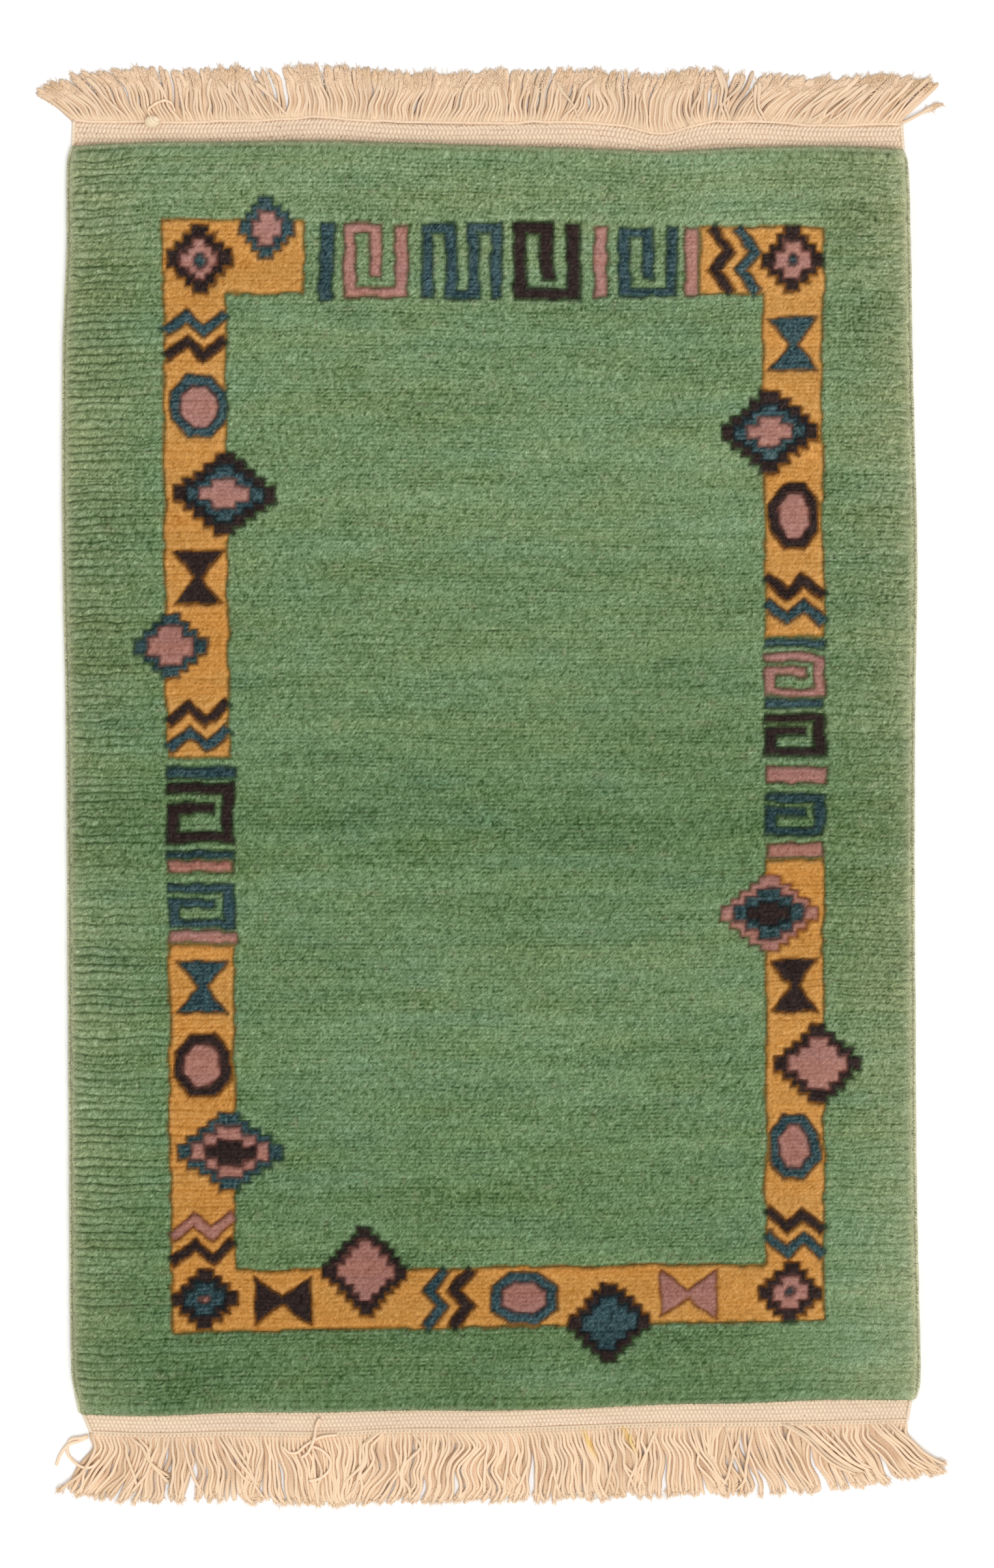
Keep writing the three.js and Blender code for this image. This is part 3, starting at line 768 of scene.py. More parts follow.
def fibre_finish(name, grain, tone_spread, bump_depth, roughness, sheen):
    """A dyed fibre surface: the stored dye, unevenly light from fibre to fibre, with a fine fibre relief."""
    material = bpy.data.materials.new(name)
    material.use_nodes = True
    tree = material.node_tree
    shader = tree.nodes["Principled BSDF"]
    shader.inputs["Roughness"].default_value = roughness
    shader.inputs["Specular IOR Level"].default_value = FIBRE_GLOSS
    shader.inputs["Sheen Weight"].default_value = sheen
    shader.inputs["Sheen Roughness"].default_value = SHEEN_ROUGHNESS
    where = add_node(tree, "ShaderNodeTexCoord").outputs["Object"]
    stored = add_node(tree, "ShaderNodeAttribute", attribute_name="dye")
    fibres = add_node(
        tree, "ShaderNodeTexNoise",
        {"Vector": where, "Scale": per_metre(grain), "Detail": 3, "Roughness": 0.6},
    ).outputs["Fac"]
    offset = add_node(
        tree, "ShaderNodeMapRange",
        {"Value": fibres, "From Min": 0.25, "From Max": 0.75, "To Min": -tone_spread, "To Max": tone_spread},
    ).outputs["Result"]
    tone = add_node(
        tree, "ShaderNodeMath", {0: offset, 1: stored.outputs["Alpha"], 2: 1.0}, operation="MULTIPLY_ADD"
    ).outputs["Value"]
    toned = add_node(
        tree, "ShaderNodeVectorMath", {0: stored.outputs["Color"], "Scale": tone}, operation="SCALE"
    ).outputs["Vector"]
    tree.links.new(toned, shader.inputs["Base Color"])
    bump = add_node(tree, "ShaderNodeBump", {"Height": fibres, "Distance": bump_depth * MM, "Strength": 1})
    tree.links.new(bump.outputs["Normal"], shader.inputs["Normal"])
    return material


PLIES = 2


def yarn_finish(name, turns, twist_depth):
    """Plied cotton yarn: two plies that turn round each other along the UV map, with fine fibres on them."""
    material = fibre_finish(
        name, grain=0.7, tone_spread=0.1, bump_depth=0.15, roughness=0.9, sheen=0.1
    )
    tree = material.node_tree
    around_along = add_node(tree, "ShaderNodeUVMap", uv_map="UVMap").outputs["UV"]
    split = add_node(tree, "ShaderNodeSeparateXYZ", {"Vector": around_along})
    phase = add_node(
        tree, "ShaderNodeMath", {0: split.outputs["Y"], 1: float(turns * PLIES)}, operation="MULTIPLY"
    ).outputs["Value"]
    angle = add_node(
        tree, "ShaderNodeMath", {0: split.outputs["X"], 1: float(PLIES), 2: phase}, operation="MULTIPLY_ADD"
    ).outputs["Value"]
    radians = add_node(tree, "ShaderNodeMath", {0: angle, 1: 2 * math.pi}, operation="MULTIPLY")
    ply = add_node(tree, "ShaderNodeMath", {0: radians.outputs["Value"]}, operation="COSINE")
    twist = add_node(
        tree, "ShaderNodeBump",
        {
            "Height": ply.outputs["Value"], "Distance": twist_depth * MM, "Strength": 1,
            "Normal": tree.nodes["Bump"].outputs["Normal"],
        },
    )
    tree.links.new(twist.outputs["Normal"], tree.nodes["Principled BSDF"].inputs["Normal"])
    return material


# Cut wool pile is matt and soft, and its fibre ends give it a fine salt-and-pepper grain
CUT_WOOL = fibre_finish(
    "cut_wool_pile", grain=1.1, tone_spread=0.52, bump_depth=0.5, roughness=0.95, sheen=0.04
)
# The back of hand-knotted wool shows the knots' loops as small hard beads
KNOT_BACK = fibre_finish(
    "knotted_wool_back", grain=2.2, tone_spread=0.2, bump_depth=0.5, roughness=0.95, sheen=0.05
)
# Overcast wool yarn is a little smoother than the pile, with fibres across the side of the rug
OVERCAST_WOOL = fibre_finish(
    "overcast_wool", grain=0.8, tone_spread=0.2, bump_depth=0.25, roughness=0.9, sheen=0.1
)
# Flat-woven unbleached cotton is dull, with a faint fibre on each thread
WOVEN_COTTON = fibre_finish(
    "woven_cotton", grain=0.6, tone_spread=0.12, bump_depth=0.15, roughness=0.9, sheen=0.08
)
# Plied unbleached cotton strands, their twist about 4 mm long
PLIED_COTTON = yarn_finish("plied_cotton", turns=12, twist_depth=0.05)
# The hem's threads lie close beside each other and slant across the band
SLANTED_COTTON = yarn_finish("slanted_cotton", turns=105, twist_depth=0.05)
# Frayed cotton tips are loose fibres without a twist
FRAYED_COTTON = fibre_finish(
    "frayed_cotton", grain=0.8, tone_spread=0.15, bump_depth=0.05, roughness=0.95, sheen=0.1
)


# Pile: one surface of points in rows and columns, with the rims on all sides
def surface_lines(cells, rim):
    """Lines of the pile from edge to edge: share of the way, shift from there and drop below the top."""
    inward, drop = (np.array(rim[name], float) for name in ("inward", "drop"))
    share = np.linspace(0, 1, cells + 1)
    flat = np.zeros(cells + 1)
    return (
        np.concatenate([np.zeros(RIM_LINES), share, np.ones(RIM_LINES)]),
        np.concatenate([inward, RIM_REACH * (1 - 2 * share), -inward[::-1]]),
        np.concatenate([drop, flat, drop[::-1]]),
    )


def pile_side(column, y):
    """X of the pile's left or right edge at y."""
    inset = SELVEDGE_WIDTH + CLEARANCE
    return table_value(SIDES, column, y) + (inset if column == "left" else -inset)


# The flat pile inside the rims gives the number of cells, two to a knot each way
FLAT_ACROSS, FLAT_ALONG = 574, 876
CELLS_ACROSS = 2 * round(FLAT_ACROSS / KNOT_ACROSS)
CELLS_ALONG = 2 * round(FLAT_ALONG / KNOT_ALONG)

# Places where the surface is cut into regions
COLUMN_CUTS = (-243, -149, 163, 250)
ROW_CUTS = (-404, -315, 309, 405)

# Creases between rows of knots: where they fade out from the sides and change towards the ends, how
# strong they are, and a mean and a spread for the deep ones and the faint ones between them. In this
# table and in those below, a layer of noise is its strength, grain across and along, and seed
CREASE_PITCH = 2
CREASE = {
    "fade_left": (52, 124), "fade_right": (30, 110), "outer_left": (10, 60), "toward_end": (200, 380),
    "left": 0.74, "more_outer_left": 0.6, "right": 0.44,
    "field": 0.28, "field_end": 0.03, "side": 0.74, "side_end": -0.2,
    "mean": 0.95, "drift": (0.35, 120, 60, 7),
    "luck": (1, 72, 7, 6), "row_stride": 23.7, "row_span": 997,
    "deep": (0.72, 0.6), "faint": (0.02, 0.3), "widening": 0.2,
}

# Relief of the cut pile in millimetres: dips round the knots, uneven cut, swelling rows and carving
RELIEF = {
    "between_rows": 0.2, "between_columns": 0.08, "swell": 0.32, "crease": 1.1,
    "uneven_cut": 0.13, "cut_seed": 8, "fine_cut": (0.16, 2.2, 1.9, 9), "rim_cut": (0.4, 2.6, 2.6, 10),
    "tufts": (1, 4.6, 3.4, 19), "tufted": (0.45, 0.85), "tuft": 0.4,
    "carved": 2.2, "carved_reach": 0.95, "slope": 0.8, "slope_reach": 2.4,
}


def pile_relief(x, y, inward_x, edge, inner, reached):
    """How far the pile drops below its top, with the share of crease, of ridge row, which gets a painted
    highlight, and of tuft at each point.
    """
    row = np.arange(len(x))[:, None] - RIM_LINES
    column = np.arange(x.shape[1])[None, :] - RIM_LINES
    between_rows, between_columns = row % 2 == 0, column % 2 == 0
    knot_row = row // 2
    left, right, outer = (
        soft_fall(inward_x, *CREASE[name]) for name in ("fade_left", "fade_right", "outer_left")
    )
    toward_side = np.where(x < 0, left, right)
    toward_end = smooth_step(np.abs(y), *CREASE["toward_end"])
    share = CREASE["field"] + CREASE["field_end"] * toward_end
    share = share + (CREASE["side"] + CREASE["side_end"] * toward_end) * toward_side
    share = share * np.where(x < 0, CREASE["left"] + CREASE["more_outer_left"] * outer, CREASE["right"])
    share = share * (CREASE["mean"] + layered_noise(x, y, CREASE["drift"]))
    row_place = knot_row * CREASE["row_stride"] % CREASE["row_span"] - CREASE["row_span"] // 2
    luck = layered_noise(x, row_place + 0 * x, CREASE["luck"])
    deep, faint = (mean + spread * luck for mean, spread in (CREASE["deep"], CREASE["faint"]))
    strength = np.where(knot_row % CREASE_PITCH == 0, deep, faint)
    crease = between_rows * reached * share * np.clip(strength, 0, 1)
    beside = np.zeros_like(crease)
    beside[1:-1] = (crease[:-2] + crease[2:]) / 2
    crease = crease + CREASE["widening"] * beside
    # Ridge rows halfway between the deep creases; they only get a painted highlight in the tone
    ridge = share * (row % (2 * CREASE_PITCH) == CREASE_PITCH) * reached
    swell = -RELIEF["swell"] * share * np.cos(math.pi * row / CREASE_PITCH)
    tufted = smooth_step(layered_noise(x, y, RELIEF["tufts"]), *RELIEF["tufted"]) * share * toward_side
    cut = np.random.default_rng(RELIEF["cut_seed"]).normal(0, RELIEF["uneven_cut"], x.shape)
    cut = cut + layered_noise(x, y, RELIEF["fine_cut"])
    knots = RELIEF["between_rows"] * between_rows + RELIEF["between_columns"] * between_columns
    carved = RELIEF["carved"] * bell(edge, 0, RELIEF["carved_reach"])
    carved = carved + RELIEF["slope"] * np.exp(-edge / RELIEF["slope_reach"])
    drop = inner * (knots - cut + carved + RELIEF["tuft"] * tufted) - reached * swell
    drop = drop + RELIEF["crease"] * crease + (1 - inner) * layered_noise(x, y, RELIEF["rim_cut"])
    return drop, crease, ridge, tufted * inner


# Lightness of the pile: streaks along the rows, clouds that grow stronger at the ends, the dip across the
# middle of the field, and the lighter near corners as side, light, way out in X and way out in Y
STREAKS = [(0.075, 130, 3.6, 11), (0.04, 80, 8, 12), (0.06, 160, 17, 30)]
CLOUDS = [(0.06, 52, 22, 14), (0.014, 19, 9, 28)]
WIDE_CLOUDS = (0.04, 110, 60, 13)
FAR_CLOUDS = {"more": 0.5, "from": (220, 330)}
NEAR_CLOUDS = {"noise": (0.12, 50, 24, 27), "from": (-430, -380)}
DIP = {"y": -38, "reach": 26, "depth": 0.08}
NEAR_CORNERS = [(1, 0.24, (150, 280), (-420, -160)), (-1, 0.16, (210, 285), (-200, -60))]
# Tone of the pile: grain and wool, painted shade between the rows of knots, in the creases and along carved
# edges, and painted highlights on the ridge rows and just beside carved edges
PILE_TONE = {
    "grain": 0.25, "grain_seed": 15, "between_rows": 0.26, "uneven_rows": (0.17, 44, 3, 24),
    "even_wool": 0.08, "ochre_change": 0.5, "wool": 0.9, "green_wool": 0.08,
    "crease": 0.52, "ridge": 0.14, "tuft": 0.12, "least": 0.15,
    "carved": 0.4, "carved_reach": 0.85, "lip": 0.1, "lip_at": 2.6, "lip_reach": 1.4,
}


def pile_tone(x, y, edge, is_green, is_ochre, crease, ridge, tufted, liveliness):
    """Lightness of the pile: streaks of uneven dyeing and knots of uneven depth, with painted shade between
    the rows, in the creases and in the carved grooves, and painted highlights on the ridge rows and beside
    the carving.
    """
    row = np.arange(len(x))[:, None] - RIM_LINES
    clouds = layered_noise(x, y, *CLOUDS) * (1 + FAR_CLOUDS["more"] * smooth_step(y, *FAR_CLOUDS["from"]))
    clouds += layered_noise(x, y, WIDE_CLOUDS)
    clouds += soft_fall(y, *NEAR_CLOUDS["from"]) * layered_noise(x, y, NEAR_CLOUDS["noise"])
    clouds -= DIP["depth"] * bell(y, DIP["y"], DIP["reach"])
    for side, light, way_x, way_y in NEAR_CORNERS:
        clouds += light * smooth_step(side * x, *way_x) * soft_fall(y, *way_y)
    for middle_x, middle_y, across, along, change in GROUND_PATCHES:
        clouds += change * bell(x, middle_x, across) * bell(y, middle_y, along)
    grain = np.random.default_rng(PILE_TONE["grain_seed"]).normal(0, PILE_TONE["grain"], x.shape)
    # Painted shade: the rows of points between the rows of knots are darkened, as shade in the dips there
    between = (row % 2 == 0) * (PILE_TONE["between_rows"] + layered_noise(x, y, PILE_TONE["uneven_rows"]))
    tone = 1 + liveliness * (layered_noise(x, y, *STREAKS) + clouds + grain - between)
    tone += PILE_TONE["even_wool"] * (1 - liveliness)
    along = 1 + (table_value(GROUND_TONE, "tone", y) - 1) * (1 - PILE_TONE["ochre_change"] * is_ochre)
    along = along * (PILE_TONE["wool"] + PILE_TONE["green_wool"] * is_green)
    tone *= along + table_value(SIDE_TONE, "tone", x)
    # Painted shade: the creases are darkened as well as cut deeper
    tone *= 1 - PILE_TONE["crease"] * np.minimum(crease, 1)
    # Painted highlight on the ridge rows, and darker tufted patches
    tone *= (1 + PILE_TONE["ridge"] * ridge) * (1 - PILE_TONE["tuft"] * tufted)
    # Painted shade in the carved grooves along the outlines between dyes
    tone *= 1 - PILE_TONE["carved"] * bell(edge, 0, PILE_TONE["carved_reach"])
    # Painted highlight on the pile just beside each carved groove
    lip = 1 + PILE_TONE["lip"] * bell(edge, PILE_TONE["lip_at"], PILE_TONE["lip_reach"])
    return np.maximum(tone, PILE_TONE["least"]) * lip


def toned(dye, tone):
    """Dye made lighter or darker by the same step in each channel, so that dark wool keeps its full hue."""
    seen = dye ** (1 / SEEN_POWER)
    step = (seen @ EYE_WEIGHTS * (tone ** (1 / SEEN_POWER) - 1))[..., None]
    return np.maximum(seen + step, SEEN_LEAST) ** SEEN_POWER


# Colour drift: warmth from skein to skein, bluish patches, light sides and a few faded knots
WARMTH = [(0.03, 100, 8, 17), (0.035, 44, 16, 18), (0.012, 13, 10, 21)]
WARMTH_IN_BLUE = 1.3
BLUISH = {"share": 0.055, "noise": (1, 44, 14, 33), "from": (0.3, 1), "red": 1.2, "green": 0.7, "blue": 0.1}
SIDE_LIGHT = {"left": 0.11, "right": 0.05, "reach": 13}
FADED = {"share": 0.22, "noise": (1, 7, 3.4, 22), "from": (0.6, 0.95), "lightness": 1.1}


def drifted(dye, x, y, inward_x, is_green):
    """Dye that drifts from knot to knot and from skein to skein."""
    warmth = layered_noise(x, y, *WARMTH)
    bluish, faded = (
        patch["share"] * is_green * smooth_step(layered_noise(x, y, patch["noise"]), *patch["from"])
        for patch in (BLUISH, FADED)
    )
    ground_red = 1 + (table_value(SIDE_TONE, "red", x) * table_value(GROUND_TONE, "red", y) - 1) * is_green
    red = (1 + warmth - BLUISH["red"] * bluish) * ground_red
    green = 1 - BLUISH["green"] * bluish
    blue = 1 - WARMTH_IN_BLUE * warmth + BLUISH["blue"] * bluish
    side_light = np.where(x < 0, SIDE_LIGHT["left"], SIDE_LIGHT["right"])
    side_light = 1 + side_light * np.exp(-np.maximum(inward_x, 0) / SIDE_LIGHT["reach"]) * is_green
    dye = dye * np.stack([red, green, blue], 2) * side_light[..., None]
    faded_dye = FADED["lightness"] * FADED_KNOT * dye.mean(2, keepdims=True) / FADED_KNOT.mean()
    return dye * (1 - faded[..., None]) + faded_dye * faded[..., None]


# Pale wool at the pile's edges: its share and reach at each side and end, and how uneven it is; in the
# creases it is painted darker as painted shade, and at the very rim lighter, more on the right, as painted
# light
PALE_SIDE = {"share": 0.72, "left": 3.2, "right": 3.4, "widest": 40}
PALE_END = {"from": 0.2, "far": (0.7, 5.5), "near": (0.4, 3.2)}
PALE_GRAIN = (0.22, 2.2, 1.7, 23)
PALE_CREASE = 0.6
PALE_LIGHT = {"left": 0.12, "right": 0.3, "reach": 2.2}


def pale_edged(dye, x, y, inward_x, inward_y, crease):
    """Dye with the pale wool that shows at the sides and the ends of the pile, with painted shade in its
    creases and painted light at its rim.
    """
    inward = np.maximum(inward_x, 0)
    reach = np.where(x < 0, PALE_SIDE["left"], PALE_SIDE["right"])
    pale = PALE_SIDE["share"] * np.exp(-inward / reach) * (inward_x < PALE_SIDE["widest"])
    far, near = (
        share * soft_fall(inward_y, PALE_END["from"], reach)
        for share, reach in (PALE_END["far"], PALE_END["near"])
    )
    pale = np.maximum(pale, np.where(y > 0, far, near))[..., None]
    # Uneven pale wool, with painted shade where the creases cross it
    light = 1 + layered_noise(x, y, PALE_GRAIN) - PALE_CREASE * np.minimum(crease, 1)
    # Painted light at the very rim, stronger on the right side
    light += np.where(x < 0, PALE_LIGHT["left"], PALE_LIGHT["right"]) * np.exp(-inward / PALE_LIGHT["reach"])
    return dye * (1 - pale) + PILE_SIDE * light[..., None] * pale


# Where the flat pile begins, how its rows and columns wave, and how the outlines of the chart wander
INNER_FROM = (1.5, 9)
ROW_WAVES = [(1.2, 38, 16, 1), (0.45, 15, 8, 2)]
SIDE_ROW_WAVE = (0.9, 8.5, 7, 26)
SIDE_ROW_FADE = (60, 110)
COLUMN_WAVE = (0.35, 5, 5, 3)
WANDER = [[(1.1, 7, 7, 4), (1.2, 22, 22, 24)], [(1.1, 7, 7, 5), (1.2, 22, 22, 25)]]
DRAWN_ONTO_OUTLINE = (0.75, 1.35)

# What tells the dyes apart, where the creases begin, and how lively each wool is in its tone
GREEN_FROM, DARK_BELOW, OCHRE_FROM = (0.03, 0.06), (0.06, 0.12), (0.3, 0.4)
CREASE_FROM, CREASE_NEARER_SIDE = (0.2, 4.5), 1.6
CREASE_IN_WOOL, CREASE_IN_GREEN = 0.7, 0.3
CALM_IN_PLAIN, LIVELY_IN_DARK = 0.44, 0.5


def pile_lines():
    """X and Y of the surface's points, their ways in from the sides and the ends, and the rim's drop."""
    share_x, shift_x, drop_x = surface_lines(CELLS_ACROSS, SIDE_RIM)
    share_y, shift_y, drop_y = (line[:, None] for line in surface_lines(CELLS_ALONG, END_RIM))
    x = np.zeros((len(share_y), len(share_x)))
    for _ in range(SETTLING_ROUNDS):
        near, far = table_value(ENDS, "pile_near", x), table_value(ENDS, "pile_far", x)
        y = near * (1 - share_y) + far * share_y + shift_y
        left, right = pile_side("left", y), pile_side("right", y)
        x = left * (1 - share_x) + right * share_x + shift_x
    inward_x = np.minimum(x - left, right - x)
    inward_y = np.minimum(y - table_value(ENDS, "pile_near", x), table_value(ENDS, "pile_far", x) - y)
    return x, y, inward_x, inward_y, np.minimum(np.hypot(drop_x, drop_y), PILE_TOP - PILE_FOOT)


def pile_surface():
    """Points and dyes of the whole pile surface, row after row."""
    x, y, inward_x, inward_y, rim_drop = pile_lines()
    inner = smooth_step(np.minimum(inward_x, inward_y), *INNER_FROM)

    # Rows of knots run a little wavily across the rug, most of all near its sides
    y = y + inner * layered_noise(x, y, *ROW_WAVES)
    y = y + inner * soft_fall(inward_x, *SIDE_ROW_FADE) * layered_noise(x, y, SIDE_ROW_WAVE)
    x = x + inner * layered_noise(x, y, COLUMN_WAVE)

    # Lines that fall near an outline of the chart are drawn onto it, so that the carving follows it
    wander = np.stack([layered_noise(x, y, *layers) for layers in WANDER], 2)
    plan = np.stack([x, y], 2)
    _, edge, way = dyed((plan + wander).reshape(-1, 2))
    pull = soft_fall(edge, *DRAWN_ONTO_OUTLINE)[:, None] * way
    plan = plan + pull.reshape(plan.shape)
    dye, edge, _ = dyed((plan + wander).reshape(-1, 2))
    dye, edge = dye.reshape(*x.shape, 3), edge.reshape(x.shape)
    x, y = plan[..., 0], plan[..., 1]

    is_green = smooth_step(dye[..., 1] - dye[..., 0], *GREEN_FROM)
    is_dark = soft_fall(dye.mean(2), *DARK_BELOW)
    is_ochre = smooth_step(dye[..., 0] - dye[..., 2], *OCHRE_FROM)
    reached = smooth_step(np.minimum(inward_x + CREASE_NEARER_SIDE, inward_y), *CREASE_FROM)
    reached = reached * (CREASE_IN_WOOL + CREASE_IN_GREEN * is_green)
    drop, crease, ridge, tufted = pile_relief(x, y, inward_x, edge, inner, reached)
    wave = np.sin(x / UNEVENNESS["wave_across"] + UNEVENNESS["start_across"])
    wave = wave * np.sin(y / UNEVENNESS["wave_along"] + UNEVENNESS["start_along"])
    z = PILE_TOP + UNEVENNESS["height"] * wave - rim_drop - drop

    liveliness = 1 - CALM_IN_PLAIN * (1 - is_green) * (1 - is_dark) + LIVELY_IN_DARK * is_dark
    dye = toned(dye, pile_tone(x, y, edge, is_green, is_ochre, crease, ridge, tufted, liveliness))
    dye = drifted(dye, x, y, inward_x, is_green)
    return np.stack([x, y, z], 2), pale_edged(dye, x, y, inward_x, inward_y, crease), liveliness


def surface_normals(points):
    """Upright directions of a surface given as rows of points."""
    across = np.gradient(points, axis=1)
    along = np.gradient(points, axis=0)
    normals = np.cross(across, along)
    return normals / np.linalg.norm(normals, axis=2, keepdims=True)


def pile_piece(name, surface, first_column, last_column, first_row, last_row, hole=None):
    """One region of the pile surface as a piece; a hole is given as first and last column and row."""
    points, dye, liveliness, normals = surface
    spots = np.arange(liveliness.size).reshape(liveliness.shape)
    kept = np.ones(spots.shape, bool)
    if hole:
        kept[hole[2] + 1:hole[3], hole[0] + 1:hole[1]] = False
    window = (slice(first_row, last_row + 1), slice(first_column, last_column + 1))
    spots = spots[window][kept[window]]
    mesh = grid_mesh(name, last_column - first_column, last_row - first_row, hole)
    move_points(mesh, points.reshape(-1, 3)[spots])
    set_dye(mesh, dye.reshape(-1, 3)[spots], liveliness.ravel()[spots])
    piece = finish_piece(mesh, CUT_WOOL, "wool_pile", "rug_pile")
    mesh.normals_split_custom_set_from_vertices(normals.reshape(-1, 3)[spots].tolist())
    return piece


def make_pile():
    """The pile in six regions that join without a step: margin, four stretches of border and field."""
    points, dye, liveliness = pile_surface()
    middle_row, middle_column = points.shape[0] // 2, points.shape[1] // 2
    i = [int(np.argmin(np.abs(points[middle_row, :, 0] - cut))) for cut in COLUMN_CUTS]
    j = [int(np.argmin(np.abs(points[:, middle_column, 1] - cut))) for cut in ROW_CUTS]
    last_column, last_row = points.shape[1] - 1, points.shape[0] - 1
    surface = (points, dye, liveliness, surface_normals(points))
    return [
        pile_piece("pile_margin", surface, 0, last_column, 0, last_row, hole=(i[0], i[3], j[0], j[3])),
        pile_piece("pile_border_left", surface, i[0], i[1], j[0], j[3]),
        pile_piece("pile_border_right", surface, i[2], i[3], j[0], j[3]),
        pile_piece("pile_border_near", surface, i[1], i[2], j[0], j[1]),
        pile_piece("pile_border_far", surface, i[1], i[2], j[2], j[3]),
        pile_piece("pile_field", surface, i[1], i[2], j[1], j[2]),
    ]


# Fibre ends that stand out of the pile's rim: their places along the sides and ends, how far apart they
# stand, and ranges of their length, height, rise, share of pale wool and tone
RIM_TUFTS = {
    "seed": 71, "side_places": (-438, 438), "end_places": (-287, 288), "spacing": 1.02, "uneven": 0.5,
    "beyond_side": 1.1, "turned": 0.35, "at_side": 288, "length": (1.8, 3.6), "length_at_end": 0.55,
    "height": (4.5, 10.2), "inset": 1.2, "rise": (-0.3, 1.6), "radii": (0.62, 0.26),
    "pale": (0.3, 0.6), "paler_at_side": 0.3, "tone": (0.9, 1.12),
}


def make_rim_tufts():
    """Fibre ends that stand out of the pile's rim all round, short and soft."""
    tufts = RIM_TUFTS
    random = np.random.default_rng(tufts["seed"])
    starts, outward = [], []
    for column, sign in (("left", -1), ("right", 1)):
        y = np.arange(*tufts["side_places"], tufts["spacing"])
        y = y + random.uniform(-tufts["uneven"], tufts["uneven"], len(y))
        starts.append(np.stack([pile_side(column, y) + sign * tufts["beyond_side"], y], 1))
        outward.append(np.tile((sign, 0.0), (len(y), 1)))
    for end in (NEAR_END, FAR_END):
        x = np.arange(*tufts["end_places"], tufts["spacing"])
        x = x + random.uniform(-tufts["uneven"], tufts["uneven"], len(x))
        starts.append(np.stack([x, table_value(ENDS, end["pile"], x)], 1))
        outward.append(np.tile((0.0, end["direction"]), (len(x), 1)))
    start, out = np.concatenate(starts), np.concatenate(outward)
    count = len(start)
    out = out + random.normal(0, tufts["turned"], (count, 2))
    out /= np.linalg.norm(out, axis=1)[:, None]
    at_side = np.abs(start[:, 0]) > tufts["at_side"]
    length = random.uniform(*tufts["length"], count) * np.where(at_side, 1, tufts["length_at_end"])
    height = random.uniform(*tufts["height"], count)
    foot = np.concatenate([start - out * tufts["inset"], height[:, None]], 1)
    tip = foot + np.concatenate([out * length[:, None], random.uniform(*tufts["rise"], (count, 1))], 1)
    share = random.uniform(*tufts["pale"], (count, 1, 1)) + tufts["paler_at_side"] * at_side[:, None, None]
    dye = mixed(DYES["green"], PILE_SIDE, share) * random.uniform(*tufts["tone"], (count, 1, 1))
    finish = (CUT_WOOL, "wool_pile", "rug_pile")
    return make_yarns("pile_rim_tufts", 3, np.stack([foot, tip], 1), tufts["radii"], dye, finish)


# Foundation: the woven back, from strip to strip, which shows the knots' loops from below
BACK = {
    "cells": (132, 204), "inset": 0.6, "height": 0.45, "loops": (0.15, 3.4, 3.4, 32),
    "tone": 0.82, "streaks": (0.06, 120, 5, 31), "bare": 0.92,
}


def make_foundation():
    """The rug's back as one sheet, with the border's figures showing through on it."""
    cells_across, cells_along = BACK["cells"]
    share_x = np.linspace(0, 1, cells_across + 1)[None, :]
    share_y = np.linspace(0, 1, cells_along + 1)[:, None]
    x = np.zeros((cells_along + 1, cells_across + 1))
    for _ in range(SETTLING_ROUNDS):
        near, far = table_value(ENDS, "strip_near", x), table_value(ENDS, "strip_far", x)
        y = near + (far - near) * share_y
        left, right = pile_side("left", y), pile_side("right", y)
        for end in (FAR_END, NEAR_END):
            pile, strip = table_value(ENDS, end["pile"], x), table_value(ENDS, end["strip"], x)
            out = np.clip((y - pile) / (strip - pile), 0, 1)
            left = np.where(out > 0, mixed(*end["left"], out) + BACK["inset"], left)
            right = np.where(out > 0, mixed(*end["right"], out) - BACK["inset"], right)
        x = left + (right - left) * share_x
    dye, _, _ = dyed(np.stack([x.ravel(), y.ravel()], 1))
    dye = dye.reshape(*x.shape, 3) * (BACK["tone"] + layered_noise(x, y, BACK["streaks"]))[..., None]
    bare = (y < table_value(ENDS, "pile_near", x)) | (y > table_value(ENDS, "pile_far", x))
    dye = np.where(bare[..., None], COTTON * BACK["bare"], dye)
    mesh = grid_mesh("foundation_back", cells_across, cells_along)
    mesh.flip_normals()
    move_points(mesh, np.stack([x, y, BACK["height"] + layered_noise(x, y, BACK["loops"])], 2))
    set_dye(mesh, dye)
    return finish_piece(mesh, KNOT_BACK, "wool_pile", "rug_pile")


# Side selvedges: the pitch of their wraps and how deep they are, and layers of noise in them. The rings
# between the wraps are thinner and also painted darker by the same share, as painted shade
SELVEDGE = {
    "length": 884, "pitch": 2.3, "sides": 10, "between": 0.84, "end": 0.6,
    "sway": (0.18, 9, 9, 41), "uneven": (0.05, 3, 3, 42), "tones": [(0.1, 5, 5, 43), (0.1, 40, 40, 44)],
}


